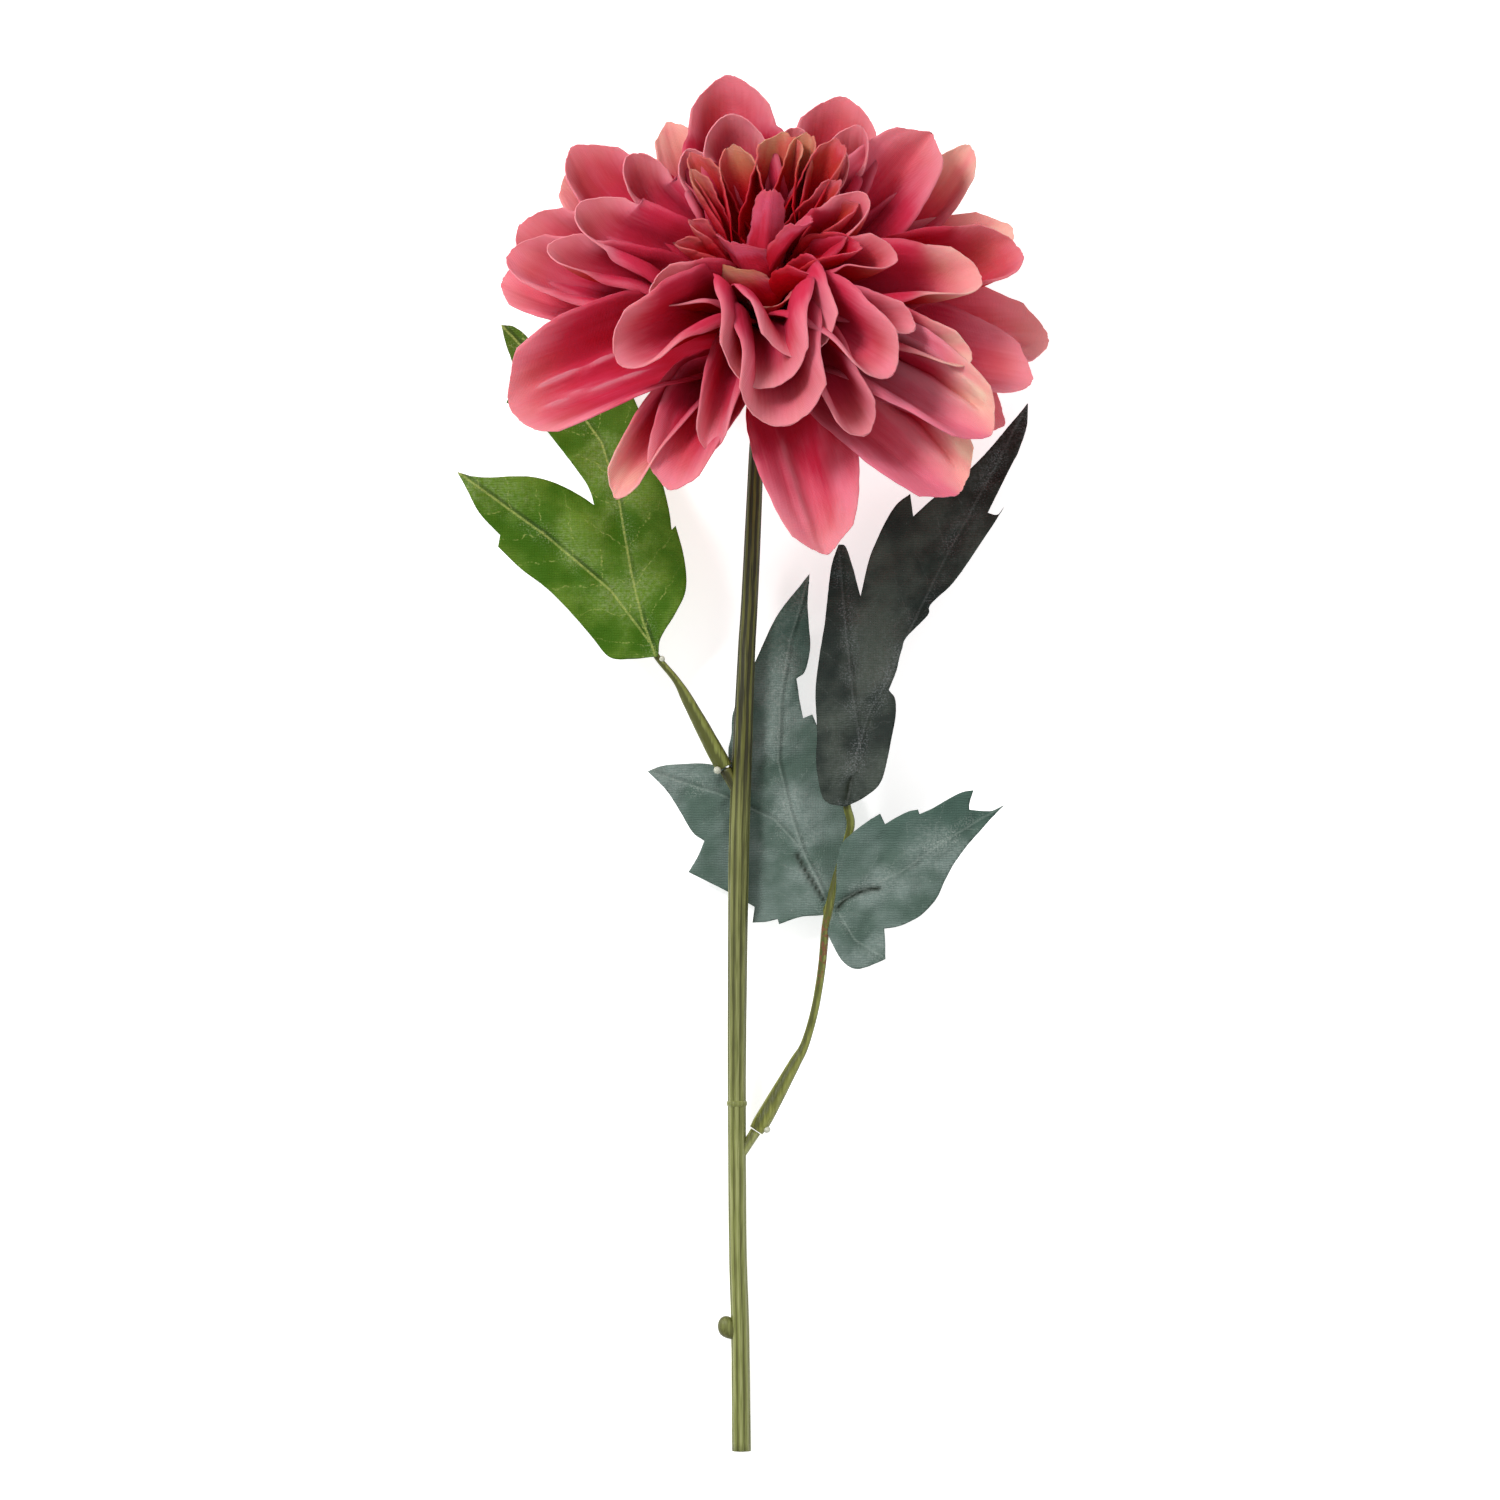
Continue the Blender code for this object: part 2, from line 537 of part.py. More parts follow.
def make_bloom(collection):
    """A small core with every petal rooted in it, and a blind socket for the stem's pin."""
    bpy.ops.mesh.primitive_uv_sphere_add(segments=16, ring_count=10, radius=CORE_RADIUS * MM)
    core = bpy.context.object
    core.name = "bloom"
    core.data.name = "bloom"
    stretch = (CORE_TOP - CORE_BOTTOM) / (2 * CORE_RADIUS)
    core.data.transform(Matrix.Diagonal((1, 1, stretch, 1)))
    core.data.transform(Matrix.Translation((0, 0, (CORE_TOP + CORE_BOTTOM) / 2 * MM)))
    for holder in list(core.users_collection):
        holder.objects.unlink(core)
    collection.objects.link(core)
    blades = []
    for index, (kind, place, lean, reach, own) in enumerate(PETALS):
        draw = random.Random(PETAL_SEED + index)
        petal = petal_values(kind, place, lean, reach, own, draw)
        blades.append(petal_blade(f"petal_{index}", petal, *petal["grid"], collection))
    join(core, blades)
    bore_low = CORE_BOTTOM - 3
    bore_high = PIN_TOP + 0.5
    bore = rod("bore", [(0, 0, bore_low, PIN_RADIUS + GAP), (0, 0, bore_high, PIN_RADIUS + GAP)], collection)
    cut(core, bore)
    keep_main_body(core)
    core.matrix_local = bloom_frame()
    return core


def make_calyx(collection):
    """The green cup under the bloom, with its ring of pointed sepals and a bore for the stem's pin."""
    cup = rod("calyx", [(0, 0, height, radius) for height, radius in CALYX_PROFILE], collection, sides=20)
    sepals = [sepal(index, collection) for index in range(SEPALS)]
    join(cup, sepals)
    bore_low = CALYX_PROFILE[0][0] - 5
    bore_high = CALYX_PROFILE[-1][0] + 5
    bore = rod("bore", [(0, 0, bore_low, PIN_RADIUS + GAP), (0, 0, bore_high, PIN_RADIUS + GAP)], collection)
    cut(cup, bore)
    keep_main_body(cup)
    cup.matrix_local = bloom_frame()
    return cup


def sepal(index, collection):
    rows = len(SEPAL_LINE) - 1
    work = bmesh.new()
    bmesh.ops.create_grid(work, x_segments=2, y_segments=rows, size=1)
    for vert in work.verts:
        row = round((vert.co.y + 1) / 2 * rows)
        side = vert.co.x
        out, height = SEPAL_LINE[row]
        vert.co = (out * MM, side * SEPAL_HALF_WIDTHS[row] * MM, (height + 0.8 * abs(side)) * MM)
    bmesh.ops.triangulate(work, faces=work.faces)
    bmesh.ops.solidify(work, geom=work.faces, thickness=SEPAL_THICKNESS * MM)
    bmesh.ops.recalc_face_normals(work, faces=work.faces)
    mesh = bpy.data.meshes.new(f"sepal_{index}")
    work.to_mesh(mesh)
    work.free()
    mesh.transform(Matrix.Rotation(2 * math.pi * (index + 0.5) / SEPALS, 4, "Z"))
    return add_object(f"sepal_{index}", mesh, collection)


def stem_depth(y):
    return STEM_BACKWARD_SLOPE * y


def stem_route():
    """The stem's middle line: straight up with a slight sway, then a bend into the bloom's axis."""
    route = [(x, y, stem_depth(y), radius) for x, y, radius in STEM_ROUTE]
    bend_x, bend_y, bend_z, bend_radius = route[-1]
    seat = bloom_frame()
    shoulder = seat @ Vector((0, 0, SHOULDER * MM)) / MM
    for share in (1 / 3, 2 / 3, 1):
        angle = BLOOM_LEAN * share
        y = bend_y + STEM_BEND_RADIUS * math.sin(angle)
        z = bend_z + STEM_BEND_RADIUS * (1 - math.cos(angle))
        x = bend_x + (shoulder.x - bend_x) * share
        route.append((x, y, z, bend_radius))
    return smooth_route(route, 2) + [(*shoulder, bend_radius)]


def make_stem(collection):
    """The ribbed stem with its two stubs, its leaf scar, the moulding ring and the pin for the bloom."""
    stem = rod("stem", stem_route(), collection, sides=2 * STEM_RIBS, grooves=True)
    seat = bloom_frame()
    pin_low = seat @ Vector((0, 0, (SHOULDER - 4) * MM)) / MM
    pin_high = seat @ Vector((0, 0, PIN_TOP * MM)) / MM
    extras = [rod("pin", [(*pin_low, PIN_RADIUS), (*pin_high, PIN_RADIUS)], collection)]
    for name, (start, end, radius) in (("left", STUB_LEFT), ("right", STUB_RIGHT)):
        way = (Vector(end) - Vector(start)).normalized()
        peg_end = Vector(end) + way * PEG_LENGTH
        extras.append(rod("stub_" + name, [(*start, radius * 0.9), (*end, radius)], collection))
        extras.append(rod("peg_" + name, [(*start, PEG_RADIUS), (*peg_end, PEG_RADIUS)], collection))
    ring_x, ring_y, ring_radius = MOULDING_RING
    ring_z = stem_depth(ring_y)
    ring_ends = [ring_y - MOULDING_RING_HEIGHT / 2, ring_y + MOULDING_RING_HEIGHT / 2]
    extras.append(rod("ring", [(ring_x, y, ring_z, ring_radius) for y in ring_ends], collection, sides=12))
    extras.append(leaf_scar(collection))
    join(stem, extras)
    keep_main_body(stem)
    return stem


def leaf_scar(collection):
    """The small knob on the left of the stem, low down."""
    bpy.ops.mesh.primitive_uv_sphere_add(segments=12, ring_count=8, radius=1)
    knob = bpy.context.object
    knob.name = "leaf_scar"
    scar_x, scar_y = LEAF_SCAR
    knob.data.transform(Matrix.Diagonal((*[radius * MM for radius in LEAF_SCAR_RADII], 1)))
    knob.data.transform(Matrix.Rotation(LEAF_SCAR_TURN, 4, "Z"))
    knob.data.transform(Matrix.Translation((scar_x * MM, scar_y * MM, stem_depth(scar_y) * MM)))
    for holder in list(knob.users_collection):
        holder.objects.unlink(knob)
    collection.objects.link(knob)
    return knob


def socket(stalk, stub, collection):
    """The bore in the sleeve of a stalk, which the stub's peg stands in."""
    start, end, _ = stub
    way = (Vector(end) - Vector(start)).normalized()
    low = Vector(end) - way * 1.5
    high = Vector(end) + way * (PEG_LENGTH + GAP)
    bore = rod("socket", [(*low, PEG_RADIUS + GAP), (*high, PEG_RADIUS + GAP)], collection)
    cut(stalk, bore)


def make_stalks(collection):
    left = rod("stalk_left", smooth_route(STALK_LEFT, 3), collection)
    socket(left, STUB_LEFT, collection)
    right = rod("stalk_right", smooth_route(STALK_RIGHT, 3), collection)
    fork = rod("fork", smooth_route(STALK_FORK, 2), collection)
    join(right, [fork])
    socket(right, STUB_RIGHT, collection)
    for stalk in (left, right):
        keep_main_body(stalk)
    return [left, right]


def nearest_on_rib(x, y, rib):
    """The distance to a rib, the height there, the way along it, and which side of it the point lies on."""
    best = None
    along = 0.0
    for (x0, y0, z0), (x1, y1, z1) in zip(rib[:-1], rib[1:]):
        length = math.hypot(x1 - x0, y1 - y0)
        share = ((x - x0) * (x1 - x0) + (y - y0) * (y1 - y0)) / length ** 2
        share = min(1, max(0, share))
        distance = math.hypot(x - x0 - share * (x1 - x0), y - y0 - share * (y1 - y0))
        if best is None or distance < best[0]:
            side = (x1 - x0) * (y - y0) - (y1 - y0) * (x - x0)
            best = (distance, z0 + share * (z1 - z0), along + share * length, math.copysign(1, side))
        along += length
    return best


def blade_height(x, y, ribs, fold, wave):
    """The height of a leaf blade: near each rib it follows the rib, and it waves towards the edge."""
    total = 0.0
    weight = 0.0
    for number, rib in enumerate(ribs):
        distance, height, along, side = nearest_on_rib(x, y, rib)
        edge = min(1, distance / WAVE_REACH)
        ripple = wave * edge ** 2 * math.sin(2 * math.pi * along / WAVE_PITCH + side + 2 * number)
        share = 1 / (distance + 0.6) ** 2
        total += share * (height + fold * distance + ripple)
        weight += share
    return total / weight


def make_leaf(name, runs, ribs, fold, wave, collection):
    """A cut leaf: its outline filled, split by a grid, bent along its ribs and thickened."""
    outline = bpy.data.curves.new(name + "_outline", "CURVE")
    outline.dimensions = "2D"
    outline.fill_mode = "BOTH"
    corners = [point for run in runs for point in run[:-1]]
    spline = outline.splines.new("POLY")
    spline.points.add(len(corners) - 1)
    spline.use_cyclic_u = True
    for point, (x, y) in zip(spline.points, corners):
        point.co = (x * MM, y * MM, 0, 1)
    flat = add_object(name + "_outline", outline, collection)
    bpy.context.view_layer.update()
    mesh = evaluated_mesh(flat)
    bpy.data.objects.remove(flat)
    work = bmesh.new()
    work.from_mesh(mesh)
    inside = [edge for edge in work.edges if len(edge.link_faces) == 2]
    bmesh.ops.dissolve_edges(work, edges=inside)
    for axis in (0, 1):
        low = min(vert.co[axis] for vert in work.verts)
        high = max(vert.co[axis] for vert in work.verts)
        cuts = int((high - low) / (LEAF_GRID * MM))
        for step in range(1, cuts + 1):
            place = [0, 0, 0]
            normal = [0, 0, 0]
            place[axis] = low + step * (high - low) / (cuts + 1)
            normal[axis] = 1
            everything = work.verts[:] + work.edges[:] + work.faces[:]
            bmesh.ops.bisect_plane(work, geom=everything, plane_co=place, plane_no=normal, dist=0.00001)
    bmesh.ops.triangulate(work, faces=work.faces)
    for vert in work.verts:
        vert.co.z = blade_height(vert.co.x / MM, vert.co.y / MM, ribs, fold, wave) * MM
    bmesh.ops.recalc_face_normals(work, faces=work.faces)
    work.to_mesh(mesh)
    work.free()
    leaf = add_object(name, mesh, collection)
    thicken = leaf.modifiers.new("thickness", "SOLIDIFY")
    thicken.thickness = BLADE * MM
    thicken.offset = 0
    return leaf


def make_leaves(collection):
    return [
        make_leaf("leaf_left", LEAF_LEFT_RUNS, LEAF_LEFT_RIBS, 0.10, 1.0, collection),
        make_leaf("leaf_behind", LEAF_BEHIND_RUNS, LEAF_BEHIND_RIBS, -0.06, 0.8, collection),
        make_leaf("leaf_dark", LEAF_DARK_RUNS, LEAF_DARK_RIBS, 0.08, 1.0, collection),
        make_leaf("leaf_right", LEAF_RIGHT_RUNS, LEAF_RIGHT_RIBS, 0.10, 1.0, collection),
    ]


def lay_down(parts, collection):
    """Parent every part to an empty that lays the stem on the surface, its box centred over the origin."""
    rest = bpy.data.objects.new("rest_pose", None)
    collection.objects.link(rest)
    rest.rotation_euler = (REST_TILT, 0, 0)
    for part in parts:
        part.parent = rest
    bpy.context.view_layer.update()
    corners = []
    for part in parts:
        corners += [part.matrix_world @ vert.co for vert in part.data.vertices]
    low = [min(corner[axis] for corner in corners) for axis in range(3)]
    high = [max(corner[axis] for corner in corners) for axis in range(3)]
    rest.location = (-(low[0] + high[0]) / 2, -(low[1] + high[1]) / 2, -low[2])


def main():
    clear_scene()
    parts_collection = bpy.data.collections.new("zinnia_stem")
    bpy.context.scene.collection.children.link(parts_collection)
    green = material("stem_green", (0.24, 0.28, 0.09), 0.5)
    leaf_green = material("leaf_green", (0.06, 0.17, 0.02), 0.6)
    leaf_grey = material("leaf_grey_green", (0.08, 0.14, 0.13), 0.7)
    leaf_slate = material("leaf_slate", (0.04, 0.05, 0.05), 0.7)
    pink = material("petal_pink", (0.55, 0.07, 0.14), 0.6)
    stem = make_stem(parts_collection)
    stalks = make_stalks(parts_collection)
    calyx = make_calyx(parts_collection)
    for part in [stem, calyx] + stalks:
        part.data.materials.append(green)
    leaves = make_leaves(parts_collection)
    for leaf, look in zip(leaves, (leaf_green, leaf_grey, leaf_slate, leaf_grey)):
        leaf.data.materials.append(look)
    bloom = make_bloom(parts_collection)
    bloom.data.materials.append(pink)
    lay_down([stem, calyx, bloom] + stalks + leaves, parts_collection)


if __name__ == "__main__":
    main()
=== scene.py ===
"""An artificial zinnia stem on a pale table, seen from above: woven petals and leaves on a moulded stem."""
import math
import random

import bmesh
import bpy
import numpy as np
from mathutils import Matrix, Vector, noise


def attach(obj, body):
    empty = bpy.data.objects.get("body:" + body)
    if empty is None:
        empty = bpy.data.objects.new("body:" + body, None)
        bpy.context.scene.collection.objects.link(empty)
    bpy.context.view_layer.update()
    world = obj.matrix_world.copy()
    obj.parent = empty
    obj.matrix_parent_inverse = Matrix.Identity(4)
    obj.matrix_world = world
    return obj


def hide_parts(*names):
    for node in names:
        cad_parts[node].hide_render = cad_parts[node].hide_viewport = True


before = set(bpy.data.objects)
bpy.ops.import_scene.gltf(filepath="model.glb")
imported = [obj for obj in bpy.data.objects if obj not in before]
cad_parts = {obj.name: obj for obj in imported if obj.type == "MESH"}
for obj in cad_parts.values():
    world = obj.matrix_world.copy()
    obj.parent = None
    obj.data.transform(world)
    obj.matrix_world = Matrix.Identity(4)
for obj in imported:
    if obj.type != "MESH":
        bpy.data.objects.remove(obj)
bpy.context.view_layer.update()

MM = 0.001
AHEAD = Vector((0, 0, 1))

# The flower is laid out in millimetres as it is seen: X to the right, Y up the stem, Z towards the viewer.
# Then it is tilted onto the table, where its cut end and its back petals touch.
REST_TILT = math.radians(5.6)
REST_PLACE = (-3.29, -205.16, 3.18)

# The bloom's seat and its lean towards the viewer, and along its axis its core and the stem's upper end
BLOOM_SEAT = (6.2, 331.8, 12.0)
BLOOM_LEAN = math.radians(48)
CORE_RADIUS = 13.0
CORE_BOTTOM = -5.5
CORE_TOP = 21.0
SHOULDER = -21.7

# Thickness of the cloth and of a sepal in mm
CLOTH = 0.4
SEPAL_THICKNESS = 0.7

# How uneven the petals' cut edges are: waves along the edge and their size in mm
SIDE_FRAY = ((3, 0.3), (8, 0.12), (17, 0.06), (29, 0.05))
TIP_FRAY = ((2, 0.3), (5, 0.15), (9, 0.1), (15, 0.08))

# Petal kinds. Width and root (out, up) are in mm, cup, flare, lip, bow, hook and turn in degrees,
# tip is a share of the width, grid is the number of faces across and along, and faces are the looks
# of its front and back.
PETAL_KINDS = {
    "skirt": {
        "width": 38, "cup": 45, "flare": 115, "lip": 40, "bow": 40, "hook": 25, "tip": 0.30,
        "root": (6.5, 1), "turn": 12, "grid": (30, 64), "faces": ("outer_face", "petal_back"),
    },
    "wide": {
        "width": 42, "cup": 70, "flare": 110, "lip": 55, "bow": 55, "hook": 45, "tip": 0.32,
        "root": (7.5, 3), "turn": 20, "grid": (30, 64), "faces": ("outer_face", "petal_back"),
    },
    "spoon": {
        "width": 40, "cup": 85, "flare": 110, "lip": 70, "bow": 75, "hook": 65, "tip": 0.34,
        "root": (7, 8), "turn": 20, "grid": (28, 60), "faces": ("inner_face", "petal_back"),
    },
    "inner": {
        "width": 32, "cup": 90, "flare": 110, "lip": 60, "bow": 65, "hook": 50, "tip": 0.30,
        "root": (6, 13), "turn": 16, "grid": (24, 52), "faces": ("inner_face", "petal_back"),
    },
    "heart": {
        "width": 17, "cup": 95, "flare": 100, "lip": 0, "bow": 34, "hook": 15, "tip": 0.14,
        "root": (4, 17), "turn": 8, "grid": (18, 44), "fray": 2.5, "faces": ("heart_face", "heart_face"),
    },
}
PETAL_COMMON = {
    "claw": 0.2, "peak": 0.55, "corner": 0.08, "round": 0.72, "fold": 0.0, "skew": 0.3, "cream": 0.25,
    "cream_side": 0.0, "tone": 0.0, "pleats": (), "fray": 1.0,
}
PETAL_SEED = 7
# Where along a petal its tip starts to hook, and the steps by which its middle line and its cup are summed up
HOOK_START = 0.62
LINE_STEPS = 160
CUP_STEPS = 10

# Every petal by its kind, its place round the bloom and its lean from the bloom's axis in degrees,
# its reach in mm, and what sets it apart from its kind
PETALS = [
    # Back ring, from the right over the top to the front
    ("skirt", 344, 90, 82, {"tone": 0.8}),
    ("skirt", 6, 98, 86, {
        "width": 36, "cream": 0.5, "tone": 1.6, "pleats": ((0.1, 1.0, 0.1), (-0.4, 0.8, 0.12)),
    }),
    ("skirt", 29, 89, 86, {"width": 32, "cream": 1.0}),
    ("skirt", 62, 97.5, 88, {}),
    ("skirt", 108, 86, 88, {"width": 24, "cream": 0.9}),
    ("skirt", 115, 97, 88, {}),
    ("skirt", 132, 87, 87, {"cream": 0.9}),
    ("skirt", 157, 98, 85, {"width": 34}),
    ("skirt", 209, 85, 84, {
        "width": 50, "cup": 60, "lip": 20, "tip": 0.42, "turn": 22,
        "tone": -0.2, "pleats": ((-0.2, 2.1, 0.04), (0.12, 2.1, 0.04)),
    }),
    ("skirt", 236, 92, 76, {"width": 30, "cup": 85, "hook": 0, "tip": 0.2, "cream": 1.0}),
    ("skirt", 246, 87, 71, {"width": 28, "hook": 0, "tip": 0.42}),
    ("skirt", 284, 98, 80, {
        "width": 35, "cup": 40, "bow": 20, "hook": 0, "tip": 0.3, "round": 0.9, "fold": 0.12, "tone": 1.0,
        "pleats": ((-0.25, 1.4, 0.16), (0.28, -1.0, 0.08), (0.52, 0.8, 0.12)),
    }),
    ("skirt", 315, 96, 81, {
        "width": 40, "cream": 1.8, "cream_side": 0.8, "tone": 2.2,
        "pleats": ((0.15, 2.0, 0.12), (0.4, -3.2, 0.08), (0.6, 2.2, 0.1)),
    }),
    ("skirt", 332, 92, 79, {"width": 26}),
    # Second ring
    ("wide", 322, 86, 83, {
        "width": 40, "cream": 1.8, "cream_side": 0.8, "tone": 2.2,
        "pleats": ((0.18, 2.2, 0.12), (0.44, -3.4, 0.08), (0.64, 2.4, 0.1)),
    }),
    ("wide", 17, 86, 82, {"width": 48, "cup": 85, "tone": -1.6}),
    ("wide", 42, 84, 92, {"width": 26, "cream": 1.0}),
    ("wide", 48, 67, 82, {"width": 34, "cup": 40, "fold": 0.35, "hook": 10, "tip": 0.16}),
    ("wide", 69, 75, 85, {"width": 50}),
    ("wide", 100, 67, 86, {"width": 47}),
    ("wide", 136, 78, 85, {}),
    ("wide", 153, 89, 83, {}),
    ("wide", 166, 84, 80, {"width": 36}),
    # Third ring
    ("spoon", 332, 77, 71, {"width": 26, "cream": 1.0}),
    ("spoon", 354, 73, 70, {"cream": 1.0}),
    ("spoon", 60, 68, 75, {"width": 34}),
    ("spoon", 100, 59, 72, {"width": 48, "hook": 70}),
    ("spoon", 133, 69, 71, {"width": 36}),
    ("spoon", 161, 68, 69, {"width": 42}),
    ("spoon", 172, 74, 70, {"width": 30}),
    ("spoon", 224, 67, 64, {"width": 44}),
    ("spoon", 254, 80, 60, {"width": 26, "tip": 0.15, "hook": 0}),
    ("spoon", 276, 72, 61, {"width": 52, "tip": 0.5}),
    ("spoon", 300, 80, 62, {"width": 34}),
    ("spoon", 308, 66, 67, {"width": 40}),
    ("spoon", 327, 64, 60, {"width": 25}),
    ("spoon", 210, 52, 50, {"width": 34}),
    ("spoon", 269, 62, 59, {"width": 52, "tip": 0.5}),
    ("inner", 287, 54, 57, {"width": 42, "cup": 72, "tip": 0.5}),
    # Inner ring and heart
    ("inner", 20, 42, 58, {"tone": -1.0}),
    ("inner", 58, 55, 63, {}),
    ("inner", 76, 57, 66, {}),
    ("inner", 350, 50, 56, {"tone": -1.0}),
    ("heart", 104, 40, 59, {"width": 30, "cream": 0.8, "tip": 0.12}),
    ("heart", 81, 42, 62, {"width": 34, "cream": 1.0, "tip": 0.2}),
    ("heart", 69, 42, 63, {"width": 26, "cream": 0.9, "tip": 0.25}),
    ("heart", 56, 42, 64, {"width": 26, "cream": 0.4, "tip": 0.25}),
    ("heart", 132, 36, 57, {"width": 13, "cream": 0.6, "tip": 0.05}),
    ("heart", 164, 30, 48, {"width": 12, "cream": 0.3, "tip": 0.05}),
    ("heart", 176, 36, 46, {"width": 14, "cream": 0.3, "tip": 0.05}),
    ("heart", 250, 5, 41, {
        "width": 21, "cup": 60, "bow": -20, "hook": 0, "tip": 0.6, "sway": -0.4, "cream": 0.0, "tone": 1.5,
    }),
    ("heart", 252, 13, 37, {
        "width": 25, "cup": 50, "bow": -60, "hook": 0, "tip": 0.6, "sway": -0.6,
        "cream": 1.4, "tone": 1.5, "fray": 1.5,
    }),
    ("heart", 270, 29, 34, {
        "width": 24, "cup": 60, "bow": -45, "hook": 0, "tip": 0.6, "sway": 0.1, "cream": 0.6, "tone": 1.0,
    }),
    # Small ones in the hollows
    ("heart", 265, -9, 54, {
        "width": 15, "cup": 60, "bow": -25, "hook": 0, "tip": 0.35, "sway": 0.04, "cream": 0.0, "tone": 2.5,
    }),
    ("inner", 118, 58, 62, {}),
    ("heart", 122, 42, 60, {"width": 20, "cream": 0.7, "tip": 0.1}),
    ("heart", 300, 9, 49, {
        "width": 13, "cup": 80, "hook": 0, "tip": 0.6, "sway": 0.36, "cream": 0.0, "tone": 0.8,
    }),
    ("heart", 350, 36, 52, {"width": 22, "cream": 0.0}),
    ("heart", 20, 36, 54, {"width": 20, "cream": 0.2}),
    ("heart", 40, 34, 56, {"width": 18, "cream": 0.2}),
    ("heart", 320, 30, 46, {"width": 18, "cream": 0.0}),
]

# Sides of the tubes, and steps between two points of a line
STEM_SIDES = 96
STUB_SIDES = 24
RING_SIDES = 48
STALK_SIDES = 32
CALYX_SIDES = 64
STEM_STEPS = 12
STUB_STEPS = 8
STALK_STEPS = 10
CALYX_STEPS = 6
LEAF_STEPS = 6

# The stem: its slope away from the viewer, the bend to the bloom, its ribs, and its middle line and radius
# from the cut end up
STEM_BACKWARD_SLOPE = -0.04
STEM_BEND_RADIUS = 18.0
STEM_RIBS = 8
STEM_GROOVE = 0.07
STEM_ROUTE = [
    (0.0, 0, 2.85), (-0.4, 36, 2.75), (-1.1, 60, 2.7), (-1.4, 100, 2.75), (-1.3, 135, 2.9),
    (-0.8, 180, 3.1), (0.1, 207, 3.0), (1.5, 240, 2.65), (2.4, 255, 2.55), (3.8, 285, 2.4),
    (4.5, 301.7, 2.2),
]
# The moulding ring's place and radius, its height, and how it swells along that. Then the low leaf scar.
MOULDING_RING = (-1.4, 104.0, 3.1)
MOULDING_RING_HEIGHT = 1.8
RING_SWELL = ((-1, 0.86), (-0.6, 0.97), (0, 1.0), (0.6, 0.97), (1, 0.86))
LEAF_SCAR = (-4.1, 36.6)
LEAF_SCAR_RADII = (2.9, 3.9, 2.3)
LEAF_SCAR_TURN = math.radians(20)
# How dark the scar's painted shade is, and how far its lower end is drawn towards the stem
SCAR_PAINTED_SHADE = 1.3
SCAR_TAPER = 0.6

# Stubs on the stem, where the leaf stalks are pushed on: start, end and end radius
STUB_LEFT = ((-1.4, 198.4, -8.0), (-4.9, 204.6, -8.0), 2.0)
STUB_RIGHT = ((-0.6, 88.0, -3.6), (4.3, 95.6, -3.9), 1.7)

# Stalks: middle line and radius, from the sleeve that sits on the stub to the leaf
STALK_LEFT = [
    (-5.1, 205.0, -8.0, 2.6), (-7.6, 209.5, -8.0, 2.7), (-15.4, 224.0, -8.0, 2.0),
    (-19.6, 231.3, -8.0, 1.2), (-26.0, 239.3, -8.1, 1.0), (-28.2, 246.0, -8.4, 0.8),
]
STALK_RIGHT = [
    (4.5, 95.9, -3.9, 2.3), (7.2, 100.1, -4.0, 2.7), (15.9, 115.8, -4.0, 1.9), (19.1, 121.8, -4.0, 1.4),
    (22.1, 132.3, -4.0, 1.25), (24.1, 144.3, -4.0, 1.25), (25.3, 156.3, -4.0, 1.3),
    (26.6, 163.5, -4.0, 1.4), (28.2, 170.7, -3.9, 1.2), (31.6, 182.4, -3.4, 1.2),
    (32.9, 188.4, -2.7, 1.3), (31.7, 194.5, -2.3, 1.2), (33.4, 202.0, -2.6, 0.8),
]
STALK_FORK = [
    (26.0, 160.0, -4.0, 1.25), (25.0, 166.5, -5.6, 1.0), (22.5, 171.5, -8.2, 0.8),
]
# Beads of glue: place and radius, at the left sleeve, the right sleeve and the left leaf
GLUE_BEADS = [(-7.3, 204.2, -5.2, 1.15), (7.7, 96.2, -2.4, 1.0), (-24.0, 237.8, -7.4, 0.9)]

# The calyx: height over the bloom's seat and radius, from the stem up
CALYX_PROFILE = [(-21.4, 3.1), (-18, 4.6), (-13, 7.5), (-9.4, 9.2), (-8.0, 8.6), (-6.8, 6.0), (-6.3, 3.0)]
# Sepals: their number, faces across and along, middle line (out, up) and half widths
SEPALS = 8
SEPAL_GRID = (10, 24)
SEPAL_LINE = [(5.0, -9.6), (9.5, -8.6), (14.0, -7.2), (20.0, -5.6), (26.0, -5.0)]
SEPAL_HALF_WIDTHS = [1.6, 3.2, 3.2, 2.3, 0.5]

